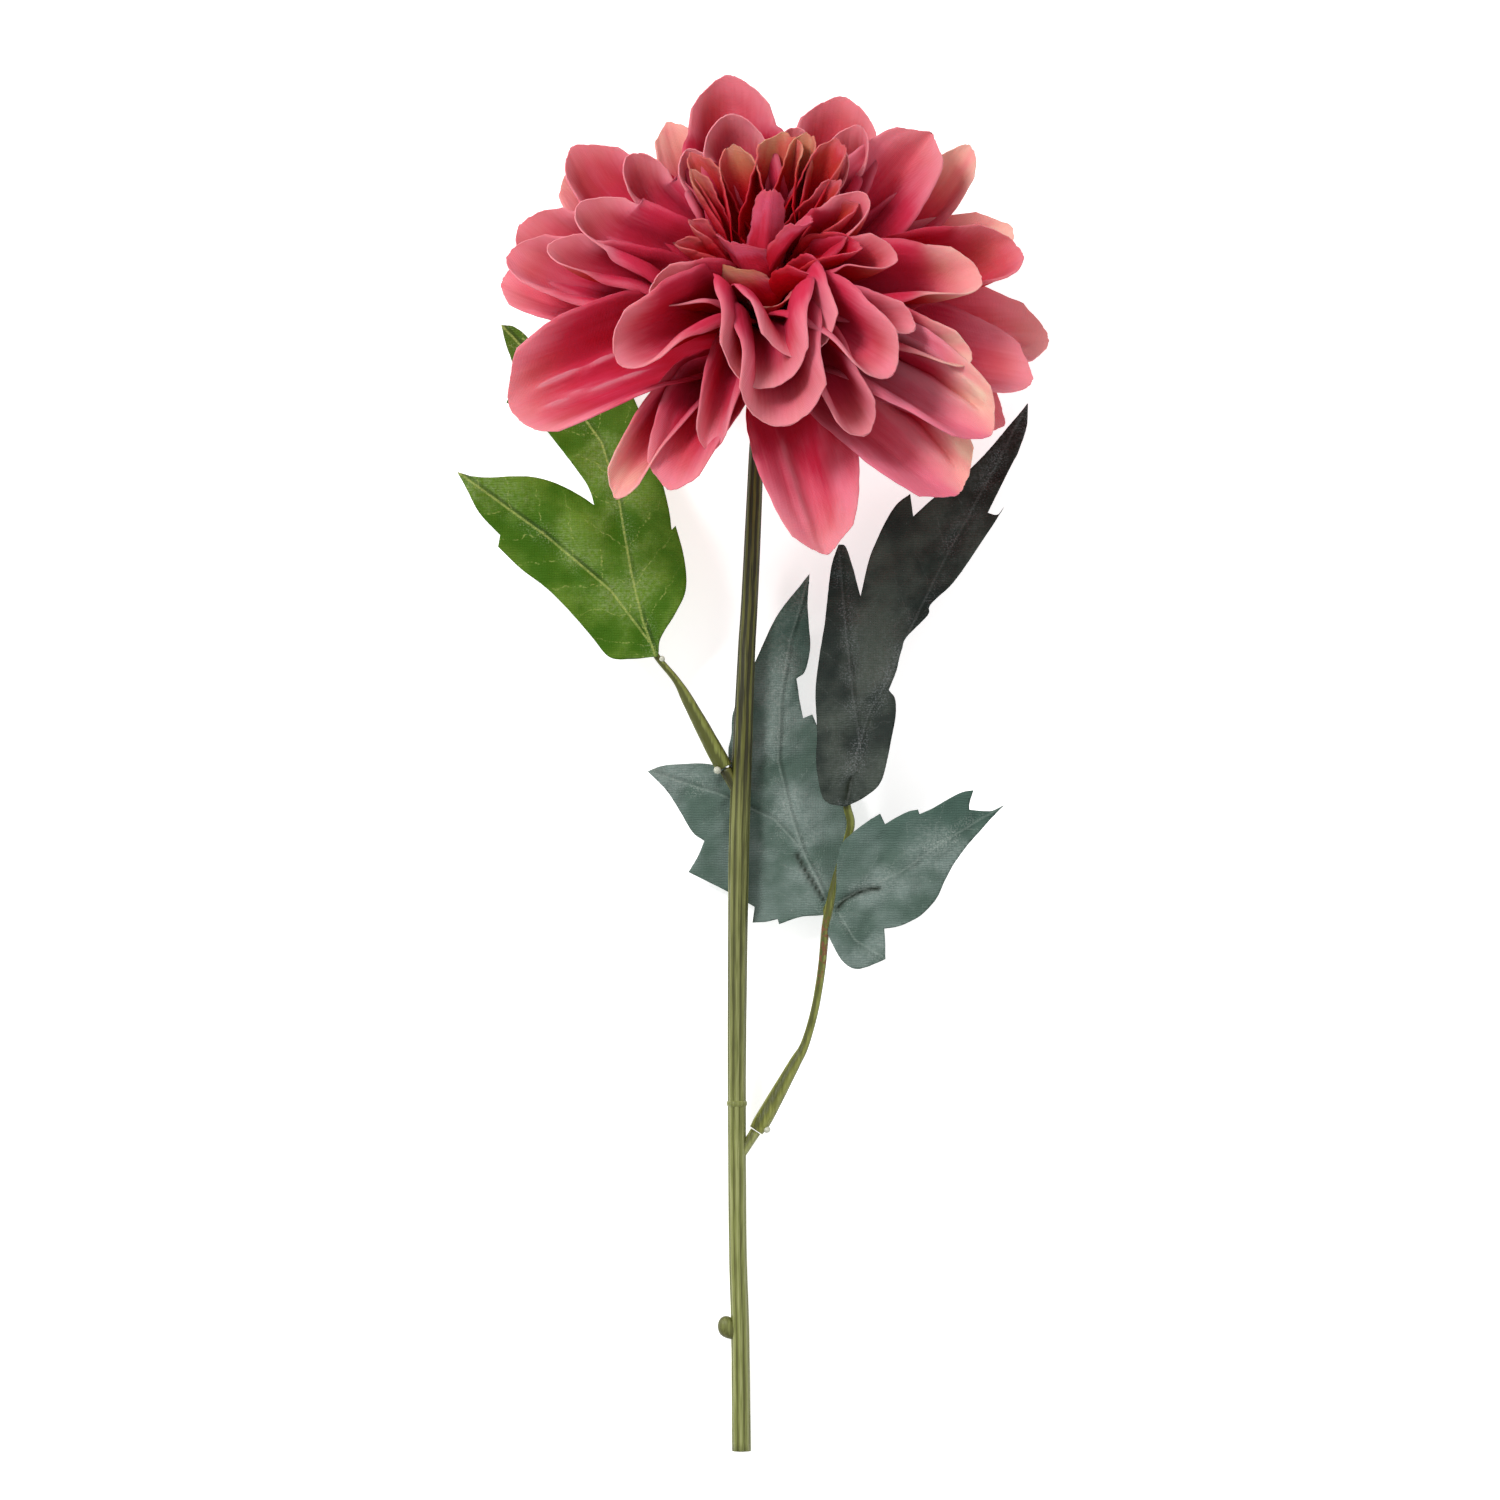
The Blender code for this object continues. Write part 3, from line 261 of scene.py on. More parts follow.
# Leaf outlines in mm. Each run goes smoothly from one sharp corner to the one that starts the next run.
# Each rib is a line of points with their height.
LEAF_LEFT_RUNS = [
    [(-26.8, 238.3), (-25.1, 238.9), (-24.4, 243.9), (-20.1, 251.1), (-17.2, 256.8), (-16.6, 262.2),
     (-17.6, 269.7)],
    [(-19.9, 277.9)],
    [(-21.1, 276.6), (-21.8, 282.1), (-23.6, 289.8), (-27.1, 300.3), (-29.5, 309.3), (-32.5, 316.5),
     (-35.2, 322.8)],
    [(-38.9, 326.7)],
    [(-41.2, 324.9), (-45.4, 329.7), (-51.4, 331.8), (-56.9, 332.1)],
    [(-63.1, 333.3), (-66.3, 337.2), (-69.8, 339.6)],
    [(-73.4, 340.1), (-72.0, 334.3), (-70.0, 328.6), (-68.8, 322.8)],
    [(-71.4, 315.9), (-66.5, 313.2), (-61.0, 309.3), (-56.5, 303.9), (-49.6, 294.8), (-46.2, 289.6)],
    [(-44.4, 284.1), (-48.4, 286.9), (-55.0, 290.4), (-61.7, 292.5), (-68.5, 292.9), (-76.1, 292.5),
     (-81.5, 292.9)],
    [(-85.6, 294.0), (-82.8, 288.9), (-79.0, 281.7)], [(-72.8, 275.1)],
    [(-73.4, 271.6), (-66.5, 264.9), (-58.9, 259.2), (-52.2, 252.6), (-45.4, 244.8), (-39.8, 238.3),
     (-33.1, 237.7)],
]
LEAF_LEFT_RIBS = [
    [(-25.9, 238.5, -6.6), (-29.8, 249.3, -6.8), (-33.4, 264.3, -8.0), (-37.0, 285.3, -12.0),
     (-42.4, 303.3, -17.0), (-52.9, 318.3, -24.0), (-73.3, 339.9, -29.0)],
    [(-28.1, 243.3, -6.7), (-39.4, 258.3, -8.0), (-58.9, 274.8, -9.5), (-85.6, 294.0, -8.0)],
]
LEAF_BEHIND_RUNS = [
    [(26.2, 162.3), (25.0, 160.8), (17.8, 160.0)], [(11.3, 157.8)], [(10.9, 159.3), (7.3, 158.5)],
    [(3.3, 158.2)], [(4.0, 162.9), (-4.3, 167.5), (-10.3, 170.5)], [(-16.0, 173.3), (-13.2, 178.2)],
    [(-11.2, 182.8), (-14.8, 185.4), (-18.4, 191.4), (-22.8, 198.2)],
    [(-28.4, 203.8), (-24.1, 205.5), (-17.6, 206.1), (-11.2, 206.2)],
    [(-3.8, 204.9), (-4.0, 210.3), (-3.1, 214.8), (-2.2, 222.9), (4.0, 236.7), (10.5, 250.5),
     (17.8, 260.1)],
    [(20.6, 263.7), (20.0, 255.3), (20.3, 248.8), (20.8, 241.6), (19.3, 234.4)],
    [(16.6, 231.9), (17.4, 226.3)], [(18.6, 219.9)],
    [(21.4, 221.1), (24.1, 214.8), (28.1, 207.3), (31.0, 199.8), (32.2, 190.8), (31.0, 178.8),
     (28.9, 169.8)],
]
LEAF_BEHIND_RIBS = [
    [(26.2, 163.5, -6.0), (22.5, 171.5, -8.9), (18.4, 179.7, -10.3), (14.5, 191.7, -12.0),
     (10.9, 207.3, -13.5), (11.5, 225.3, -14.0), (14.5, 243.3, -15.0), (20.6, 263.7, -16.0)],
    [(17.6, 180.9, -10.6), (9.8, 189.3, -12.5), (-6.5, 196.8, -13.5), (-28.3, 203.7, -14.0)],
]
LEAF_DARK_RUNS = [
    [(31.3, 193.3), (28.9, 193.7), (26.1, 194.4), (24.0, 197.1), (22.4, 206.2), (22.7, 216.0),
     (22.2, 228.0), (23.4, 238.5), (25.0, 248.1), (25.8, 255.3), (27.1, 265.8)],
    [(29.2, 272.1), (31.3, 271.5), (33.4, 265.5)],
    [(35.8, 256.5), (38.2, 267.0), (40.4, 272.8), (43.7, 279.6), (47.1, 284.7)],
    [(50.9, 287.6)],
    [(51.8, 280.8), (58.9, 287.2), (67.0, 293.4), (73.6, 299.8), (80.8, 308.2)],
    [(87.1, 315.8), (86.7, 309.0)], [(84.3, 301.9), (83.7, 300.3), (80.0, 293.1)],
    [(74.5, 282.1), (77.4, 281.5)],
    [(79.5, 283.9), (77.4, 280.5), (70.6, 270.3), (64.0, 261.0), (56.9, 254.1), (56.1, 250.9),
     (49.6, 244.2), (48.0, 240.0), (46.4, 233.7)],
    [(44.2, 228.3), (46.1, 225.7), (46.3, 220.7), (44.9, 213.3), (43.7, 207.3), (41.6, 200.4),
     (37.0, 196.2)],
]
LEAF_DARK_RIBS = [
    [(31.6, 194.1, -0.5), (34.9, 210.3, -1.0), (37.9, 220.8, -2.0), (43.9, 231.3, -3.0),
     (49.0, 243.3, -5.0), (61.0, 267.3, -10.0), (77.5, 297.3, -18.0), (87.1, 315.9, -22.0)],
    [(35.5, 211.8, -1.2), (33.1, 228.3, -2.0), (31.0, 249.3, -4.0), (29.2, 271.8, -6.0)],
]
LEAF_RIGHT_RUNS = [
    [(27.8, 162.9), (26.4, 157.8), (25.9, 155.4), (27.0, 152.7), (29.2, 148.5), (31.6, 145.8),
     (34.3, 144.6), (36.9, 145.0), (40.0, 146.2)],
    [(43.1, 147.6), (43.0, 152.4)],
    [(42.8, 156.7), (46.9, 157.4), (50.3, 158.8), (54.1, 161.1), (58.3, 165.7), (60.7, 170.7),
     (63.7, 176.4), (67.6, 181.8), (73.3, 188.3)],
    [(78.4, 193.7), (74.8, 192.1), (71.4, 192.1)], [(68.1, 192.5), (68.3, 194.8)],
    [(69.4, 198.3), (66.0, 197.7), (61.8, 195.6), (57.2, 192.9)],
    [(53.2, 191.1)], [(52.7, 192.5), (49.9, 191.9), (46.1, 190.0)], [(43.0, 188.1)],
    [(41.5, 191.3), (38.5, 189.4), (35.0, 186.9), (32.7, 184.9), (30.1, 182.2), (28.6, 176.4),
     (28.5, 168.9)],
]
LEAF_RIGHT_RIBS = [
    [(28.3, 164.1, -2.0), (35.5, 168.3, -0.6), (47.5, 173.7, 2.0), (61.0, 183.3, 4.0),
     (78.1, 193.5, 5.0)],
    [(29.6, 160.8, -1.8), (34.0, 153.3, -0.6), (42.8, 147.9, 0.5)],
]
# What each point of a leaf knows for its look: its place, its distance from both ribs and the way along
# them, its share of the leaf's height, how strongly ribs are pressed in, which also scales the painted shade
# in the creases beside them, and how near a sharp crease runs, for the painted shade in it
LEAF_LAYERS = ("leaf_x", "leaf_y", "rib_distance", "rib_along", "rib_distance_2", "rib_along_2", "leaf_share",
               "rib_press", "crease_shade")
# In mm: the grid of the sheet, the waves of its edge, the pitch of its side veins, how it lies over a stalk,
# and its sharp creases
LEAF_GRID = 1.1
WAVE_PITCH = 34.0
WAVE_REACH = 12.0
VEIN_PITCH = 12.0
LIE_OVER_REACH = 10.0
LIE_OVER_GAP = 0.9
CREASE_REACH = 0.8
CREASE_DEPTH = 0.9

# How each leaf is folded along its ribs, waved at its edge, crumpled and pressed, its sharp creases, and the
# piece of a stalk that it lies over
LEAF_LEFT_FORM = {
    "fold": 0.1, "wave": 1.0, "crumple": 0.8, "press": 1.0, "creases": [], "stalk": STALK_LEFT[-2:],
}
LEAF_BEHIND_FORM = {
    "fold": -0.06, "wave": 0.8, "crumple": 1.5, "press": 0.6,
    "creases": [[(16.8, 178.5, 0), (19.8, 173.1, 0), (24.6, 165.6, 0)]], "stalk": STALK_FORK[1:],
}
LEAF_DARK_FORM = {
    "fold": 0.08, "wave": 1.0, "crumple": 1.6, "press": 0.6,
    "creases": [[(31.5, 195.6, 0), (31.8, 198.9, 0), (33.0, 201.9, 0)]], "stalk": STALK_RIGHT[-2:],
}
LEAF_RIGHT_FORM = {
    "fold": 0.1, "wave": 1.0, "crumple": 1.7, "press": 0.2,
    "creases": [[(28.8, 162.6, 0), (31.2, 165.6, 0), (36.3, 168.0, 0), (41.4, 168.9, 0)]],
    "stalk": STALK_RIGHT[8:11],
}

# Each leaf with its CAD node and its slot, which is also the name of its look
LEAVES = [
    ("left_leaf", "leaf_left", "leaf_green", LEAF_LEFT_RUNS, LEAF_LEFT_RIBS, LEAF_LEFT_FORM),
    ("hind_leaf", "leaf_behind", "leaf_grey", LEAF_BEHIND_RUNS, LEAF_BEHIND_RIBS, LEAF_BEHIND_FORM),
    ("slate_leaf", "leaf_dark", "leaf_slate", LEAF_DARK_RUNS, LEAF_DARK_RIBS, LEAF_DARK_FORM),
    ("right_leaf", "leaf_right", "leaf_grey", LEAF_RIGHT_RUNS, LEAF_RIGHT_RIBS, LEAF_RIGHT_FORM),
]

# Petal looks: the colours from root to tip by their place, the lip, the cream and its warm patches,
# the rim's share in the depth of colour and its reach in mm
PETAL_LOOKS = {
    "outer_face": (
        ((0.0, "b8061a"), (0.35, "be1a32"), (0.55, "c03e58"), (0.76, "d06c80"), (1.0, "e09ca8")),
        "e6b4b4", "e8c4ae", "eaa49c", 0.4, 10.0,
    ),
    "inner_face": (
        ((0.0, "aa000c"), (0.45, "ac081a"), (0.65, "b81c38"), (0.82, "c24462"), (1.0, "da748c")),
        "ce6a7e", "e8c4ae", "eaa49c", 0.75, 9.0,
    ),
    "petal_back": (
        ((0.0, "a80418"), (0.5, "be2e4a"), (1.0, "da7488")),
        "d27686", "e8c4ae", "eaa49c", 0.3, 10.0,
    ),
    "heart_face": (
        ((0.0, "a8000c"), (0.5, "ac081a"), (0.8, "b82840"), (1.0, "c24c66")),
        "c85a54", "c4a078", "c86a58", 0.4, 6.0,
    ),
}
PETAL_SHADER = {
    "Roughness": 0.8, "Specular IOR Level": 0.03,
    "Subsurface Weight": 0.25, "Subsurface Radius": (1.0, 0.25, 0.25), "Subsurface Scale": 0.002,
}
PETAL_BUMP = 0.00008
# The pitch of the threads in mm
PETAL_THREADS = 0.45
LEAF_THREADS = 0.75

# Leaf looks: low and high patches of painted shade and painted light for the crumples, tip, veins, and worn
# threads with a painted sheen near the ribs, and how much the veins and the worn threads with their sheen
# show
LEAF_LOOKS = {
    "leaf_green": ("386004", "5c7c20", "46600e", "a4b060", "8ea070", 0.7, 0.4),
    "leaf_grey": ("4e6258", "70807a", "465e54", "98a49c", "a4aca6", 0.3, 0.25),
    "leaf_slate": ("262e2a", "485048", "221e18", "7c807e", "808486", 0.2, 0.15),
}
LEAF_SHADER = {"Roughness": 0.7, "Specular IOR Level": 0.15}
LEAF_BUMP = 0.00015
# The colour of the painted shade in the creases beside the ribs and along the sharp creases
CREASE_SHADE_COLOUR = "141c0e"

# Looks of moulded plastic: from the rib to the groove with its painted shade, in the lower part and in the
# upper part, and how scuffed it is
MOULDED_LOOKS = {
    "moulded_olive": (
        ((0.0, "989c64"), (0.35, "7e8446"), (0.9, "585a2a")), ((0.0, "606228"), (0.5, "2a2a0e")), 0.0,
    ),
    "stalk_olive": (
        ((0.0, "8c9048"), (0.35, "747830"), (0.9, "4c501c")), ((0.0, "7c8440"), (0.5, "4c501c")), 0.8,
    ),
}
MOULDED_SHADER = {"Roughness": 0.45, "Specular IOR Level": 0.35}
MOULDED_BUMP = 0.0003
STREAK_SCALE = (1500, 18, 1500)
# Where along the table's Y axis, in metres, the stem turns dark towards the bloom, in two steps
STEM_DARKENS = (-0.125, -0.045)
STEM_DARKEST = (-0.02, 0.005)
# Where a stalk is scuffed red-brown, how far that reaches, and how far at full strength, in metres
SCUFF_PLACE = -0.055
SCUFF_REACH = 0.014
SCUFF_CORE = 0.004
SCUFF_COLOUR = "7c4430"
CORE_COLOUR = "7a0a18"
GLUE_COLOUR = "c4c6b4"

# The pale table, with half its width in metres, and the light
WHITE = (1, 1, 1, 1)
TABLE_HALF = 30.0
TABLE_SHADER = {
    "Roughness": 0.8, "Base Color": (0.9, 0.9, 0.9, 1), "Emission Color": WHITE, "Emission Strength": 0.6,
}
WORLD_STRENGTH = 0.54
# Lights: place and size in metres, and power in watts
LIGHTS = (("key", (-0.8, 0.7, 1.2), 0.45, 18), ("fill", (0.6, -0.5, 1.2), 1.0, 3))

# The camera in the flower's layout, and the height that the photograph shows, both in mm
CAMERA_PLACE = (2.55, 210.3, 1600.0)
PHOTO_HEIGHT = 450.0
SENSOR_WIDTH = 36


def rest_frame():
    """From the layout in mm to the table's frame in metres."""
    place = Matrix.Translation(Vector(REST_PLACE) * MM)
    return place @ Matrix.Rotation(REST_TILT, 4, "X") @ Matrix.Scale(MM, 4)


def bloom_frame():
    """From the bloom's own frame, whose Z is its axis, to the layout, both in mm."""
    return Matrix.Translation(Vector(BLOOM_SEAT)) @ Matrix.Rotation(BLOOM_LEAN - math.pi / 2, 4, "X")


def smooth_route(points, steps):
    """A smooth curve through the points, with a number of steps between each two."""
    knots = [np.array(point, dtype=float) for point in points]
    ends = [2 * knots[0] - knots[1]] + knots + [2 * knots[-1] - knots[-2]]
    route = []
    for index in range(1, len(knots)):
        before, start, end, after = ends[index - 1:index + 3]
        for step in range(steps):
            t = step / steps
            linear = (end - before) * t
            square = (2 * before - 5 * start + 4 * end - after) * t ** 2
            cube = (3 * start - before - 3 * end + after) * t ** 3
            route.append(start + (linear + square + cube) / 2)
    route.append(knots[-1])
    return route


def rise(share, start, end):
    """From 0 to 1 between two shares, straight and clipped at both."""
    return np.clip((share - start) / (end - start), 0, 1)


def bulge(way, place, breadth):
    """A soft bump of height 1 at a place."""
    return np.exp(-((way - place) / breadth) ** 2)


def noise_on(x, y, size, seed):
    """Smooth noise between -1 and 1 in patches of a size."""
    return noise.noise(Vector((x / size, y / size, seed)))


# Pieces


def add_object(name, data):
    made = bpy.data.objects.new(name, data)
    bpy.context.scene.collection.objects.link(made)
    return made


def finish_piece(name, work, looks, node_names):
    """Turn a bmesh in layout millimetres into a piece of the scene that stands for its CAD nodes."""
    work.transform(rest_frame())
    mesh = bpy.data.meshes.new(name)
    work.to_mesh(mesh)
    work.free()
    mesh.polygons.foreach_set("use_smooth", [True] * len(mesh.polygons))
    piece = add_object(name, mesh)
    for look in looks:
        mesh.materials.append(look)
    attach(piece, "root")
    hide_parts(*node_names)
    return piece


def thicken(piece, thickness, back_look=0):
    """Give a sheet its thickness, with another material on its back if there is one."""
    shell = piece.modifiers.new("thickness", "SOLIDIFY")
    shell.thickness = thickness * MM
    shell.offset = 0
    shell.material_offset = back_look
    shell.material_offset_rim = back_look


def grid_verts(work, columns, rows):
    """A new grid's vertices, each with its column and row."""
    made = bmesh.ops.create_grid(work, x_segments=columns, y_segments=rows, size=1)["verts"]
    return [(vert, round((vert.co.x + 1) / 2 * columns), round((vert.co.y + 1) / 2 * rows)) for vert in made]


# Petals


def petal_values(kind, place, lean, reach, own, draw):
    """All values of one petal: those of its kind, a small seeded draw, and its own."""
    petal = {**PETAL_COMMON, **PETAL_KINDS[kind]}
    facing_back = math.sin(math.radians(place))
    petal.update({"place": place, "lean": lean, "reach": reach})
    for name, spread in (("roll", 7), ("twist", 8), ("sway", 0.03)):
        petal[name] = draw.uniform(-spread, spread)
    petal["width"] *= draw.uniform(0.96, 1.04)
    petal["cup"] *= draw.uniform(0.93, 1.07)
    petal["bow"] *= 0.62 - 0.45 * facing_back
    petal["hook"] *= 0.75 + 0.5 * facing_back
    petal.update(own)
    petal["roll"] += petal["turn"] * math.cos(math.radians(place))
    petal["near"] = -math.cos(math.radians(place))
    return petal


def petal_middle_line(petal, share):
    """The petal's middle line at shares of its length: distance out, height, heading, and the length."""
    root_out, root_up = petal["root"]
    lean = math.radians(petal["lean"])
    bow = math.radians(petal["bow"])
    hook = math.radians(petal["hook"])
    out = petal["reach"] * math.sin(lean) - root_out
    up = petal["reach"] * math.cos(lean) - root_up
    way = math.atan2(out, up)
    length = math.hypot(out, up) * (bow / 2) / math.sin(bow / 2)

    def heading(part):
        end = rise(part, HOOK_START, 1)
        curl = np.sin(end ** 1.5 * math.radians(petal["flare"] + 10))
        return way + bow * (part - 0.5) - hook * curl

    middles = heading((np.arange(LINE_STEPS) + 0.5) / LINE_STEPS)
    knots = np.linspace(0, 1, LINE_STEPS + 1)
    outs = root_out + np.concatenate([[0], np.cumsum(np.sin(middles))]) * length / LINE_STEPS
    ups = root_up + np.concatenate([[0], np.cumsum(np.cos(middles))]) * length / LINE_STEPS
    return np.interp(share, knots, outs), np.interp(share, knots, ups), heading(share), length


def petal_half_width(petal, share):
    """Half the petal's width at shares of its length: a narrow claw, the widest place, and the tip."""
    before = rise(share, 0, petal["peak"])
    widening = petal["claw"] + (1 - petal["claw"]) * np.sin(math.pi / 2 * before) ** 1.2
    past = rise(share, petal["peak"], 1)
    narrowing = petal["tip"] + (1 - petal["tip"]) * (1 - past ** 2.2) ** petal["round"]
    return petal["width"] / 2 * widening * narrowing


def petal_surface(petal, across, along, draw):
    """The petal's surface in mm in the bloom's frame, by rows and columns, and its cloth values."""
    side_share = np.linspace(-1, 1, across + 1)[None, :]
    rows = 1 - (1 - np.linspace(0, 1, along + 1)[:, None]) ** 1.6
    tip_cut = rough_edge(petal, side_share, TIP_FRAY, draw) / petal["reach"]
    share = rows * (1 - petal["corner"] * side_share ** 2 - tip_cut)
    out, up, heading, length = petal_middle_line(petal, share)
    half = petal_half_width(petal, share) + rough_edge(petal, share, SIDE_FRAY, draw)
    opening = (0.5 + 0.5 * rise(share, 0, 0.5)) * (1 - 0.45 * rise(share, 0.7, 1) ** 2)
    cup = math.radians(petal["cup"]) * opening
    near = 1 + petal["skew"] * petal["near"] * side_share
    middle = np.sin(math.pi * rise(share, 0.1, 0.95)) ** 0.8
    flare = np.radians(petal["flare"] + petal["lip"] * middle * near)
    inward = np.abs(side_share)[..., None] * (np.arange(CUP_STEPS) + 0.5) / CUP_STEPS
    turn = cup[..., None] * np.sin(inward * flare[..., None])
    side = half * side_share * np.cos(turn).mean(-1)
    lift = half * np.abs(side_share) * np.sin(turn).mean(-1)
    lift = lift - petal["fold"] * half * bulge(side_share, 0, 0.3)
    pleats = petal_pleats(petal, share, side_share)
    lift = lift + petal_relief(share, side_share, draw) + pleats
    roll = np.radians(petal["roll"] + petal["twist"] * share)
    rolled_side = side * np.cos(roll) - lift * np.sin(roll) + petal["sway"] * length * share ** 2
    rolled_lift = side * np.sin(roll) + lift * np.cos(roll)
    radial = out - np.cos(heading) * rolled_lift
    height = up + np.sin(heading) * rolled_lift
    place = math.radians(petal["place"])
    x = radial * math.cos(place) - rolled_side * math.sin(place)
    y = radial * math.sin(place) + rolled_side * math.cos(place)
    ones = np.ones_like(share)
    cream_side = np.clip(1 + petal["cream_side"] * (1.6 * side_share - 0.9), 0, 1)
    rim = np.minimum((1 - np.abs(side_share)) * half, (1 - rows) * length)
    cloth = {
        "petal_along": share,
        "petal_rim": rim,
        "cloth_side": half * side_share,
        "cloth_length": share * length,
        # The pleats' lift, also used for painted light on their ridges and painted shade in their valleys
        "pleat_light_and_shade": pleats,
        "petal_cream": petal["cream"] * cream_side * ones,
        "petal_tone": (petal["tone"] + draw.uniform(-0.35, 0.35)) * ones,
        "petal_seed": draw.uniform(0, 40) * ones,
    }
    return np.stack([x, y, height], -1), cloth


def rough_edge(petal, way, sizes, draw):
    """The uneven cut of a petal's edge in mm, as waves along it."""
    cut = 0.0
    for waves, size in sizes:
        cut = cut + petal["fray"] * size * np.sin(waves * math.pi * way + draw.uniform(0, 2 * math.pi))
    return cut


def petal_relief(share, side_share, draw):
    """The pressed creases along a petal and the small waves of its rim, as a lift in mm."""
    lift = 0.0
    fade = np.sin(math.pi * np.clip(share, 0, 1)) ** 0.7 * (1 - side_share ** 4)
    for ridges, size in ((2, 0.5), (4, 0.3), (7, 0.12)):
        shift = draw.uniform(0, 2 * math.pi)
        lean = draw.uniform(-1.2, 1.2)
        lift = lift + size * fade * np.sin(ridges * math.pi * side_share + lean * share + shift)
    rim = np.abs(side_share) ** 3 * rise(share, 0, 0.3)
    for waves, size in ((3, 0.5), (7, 0.25)):
        shift = draw.uniform(0, 2 * math.pi)
        lift = lift + size * rim * np.sin(waves * math.pi * share + shift + 1.5 * side_share)
    return lift


def petal_pleats(petal, share, side_share):
    """The pressed pleats along a petal in mm. They wander a little and end before the tip."""
    lift = np.zeros_like(share)
    run = rise(share, 0.35, 0.5) * rise(share, 0.93, 0.85)
    for place, height, breadth in petal["pleats"]:
        wander = 0.02 * np.sin(14 * share + 9 * place) + 0.012 * np.sin(31 * share)
        lift = lift + height * run * bulge(side_share, place + wander, breadth)
    return lift


def make_petals(kind, looks):
    """Every petal of one kind as woven sheets in one piece."""
    work = bmesh.new()
    layers = {}
    for index, (row_kind, place, lean, reach, own) in enumerate(PETALS):
        if row_kind != kind:
            continue
        draw = random.Random(PETAL_SEED + index)
        petal = petal_values(row_kind, place, lean, reach, own, draw)
        across, along = petal["grid"]
        points, cloth = petal_surface(petal, across, along, draw)
        if not layers:
            layers = {name: work.verts.layers.float.new(name) for name in cloth}
        for vert, column, row in grid_verts(work, across, along):
            vert.co = points[row, column]
            for name, layer in layers.items():
                vert[layer] = cloth[name][row, column]
    work.transform(bloom_frame())
    piece = finish_piece(kind + "_petals", work, looks, ["bloom"])
    thicken(piece, CLOTH, back_look=1)


def make_core(look):
    """The small knob that every petal is threaded on."""
    work = bmesh.new()
    bmesh.ops.create_uvsphere(work, u_segments=32, v_segments=20, radius=CORE_RADIUS)
    stretch = (CORE_TOP - CORE_BOTTOM) / (2 * CORE_RADIUS)
    work.transform(Matrix.Diagonal((1, 1, stretch, 1)))
    work.transform(Matrix.Translation((0, 0, (CORE_TOP + CORE_BOTTOM) / 2)))
    for vert in work.verts:
        vert.co *= 1 + 0.04 * noise.noise(vert.co * 0.5)
    work.transform(bloom_frame())
    finish_piece("bloom_core", work, [look], ["bloom"])


# Stem and stalks


def tube(work, route, sides, upright, ring, groove):
    """A closed tube along a route of (x, y, z, radius). The ring function gives the form at an angle."""
    centres = [Vector(point[:3]) for point in route]
    rows = len(route) - 1
    frames = []
    for index in range(len(centres)):
        before = centres[max(index - 1, 0)]
        after = centres[min(index + 1, rows)]
        way = (after - before).normalized()
        over = (upright - way * upright.dot(way)).normalized()
        frames.append((over.cross(way), over))
    grid = grid_verts(work, sides, rows)
    for vert, column, row in grid:
        angle = 2 * math.pi * (column % sides) / sides
        side, over = frames[row]
        share, vert[groove] = ring(angle, route[row])
        radius = route[row][3] * share
        vert.co = centres[row] + (side * math.cos(angle) + over * math.sin(angle)) * radius
    bmesh.ops.remove_doubles(work, verts=[vert for vert, _, _ in grid], dist=0.0001)
    open_edges = [edge for edge in work.edges if len(edge.link_faces) == 1]
    caps = bmesh.ops.holes_fill(work, edges=open_edges, sides=0)
    bmesh.ops.triangulate(work, faces=caps["faces"])


def stem_depth(y):
    return STEM_BACKWARD_SLOPE * y


def stem_route():
    """The stem's middle line: straight up with a slight sway, then a bend into the bloom's axis."""
    route = [(x, y, stem_depth(y), radius) for x, y, radius in STEM_ROUTE]
    bend_x, bend_y, bend_z, bend_radius = route[-1]
    shoulder = bloom_frame() @ Vector((0, 0, SHOULDER))
    for share in (1 / 3, 2 / 3, 1):
        angle = BLOOM_LEAN * share
        y = bend_y + STEM_BEND_RADIUS * math.sin(angle)
        z = bend_z + STEM_BEND_RADIUS * (1 - math.cos(angle))
        x = bend_x + (shoulder.x - bend_x) * share
        route.append((x, y, z, bend_radius))
    route.append((*shoulder, bend_radius))
    return smooth_route(route, STEM_STEPS)


def ring_noise(angle, y, stretch):
    """The unevenness of a moulded surface at an angle and a height."""
    return noise.noise(Vector((math.cos(angle) * 2, math.sin(angle) * 2, y * stretch)))


def stem_ring(angle, point):
    """The stem's ribs and the fine mould lines on them: a share of the radius, and how deep in a groove,
    which sets the painted shade there.
    """
    groove = (0.5 - 0.5 * math.cos(STEM_RIBS * angle)) ** 2
    fine = 0.5 - 0.5 * math.cos(3 * STEM_RIBS * angle + 1.3)
    rough = ring_noise(angle, point[1], 0.12)
    return 1 - STEM_GROOVE * groove - 0.012 * fine + 0.012 * rough, 0.75 * groove + 0.25 * fine


def stalk_ring(angle, point):
    """A stalk's soft flutes: a share of the radius, and how deep in a flute, which sets the painted shade
    there.
    """
    flute = 0.5 - 0.5 * math.cos(3 * angle)
    return 1 - 0.08 * flute + 0.03 * ring_noise(angle, point[1], 0.2), flute


def plain_ring(angle, point):
    return 1, 0.3


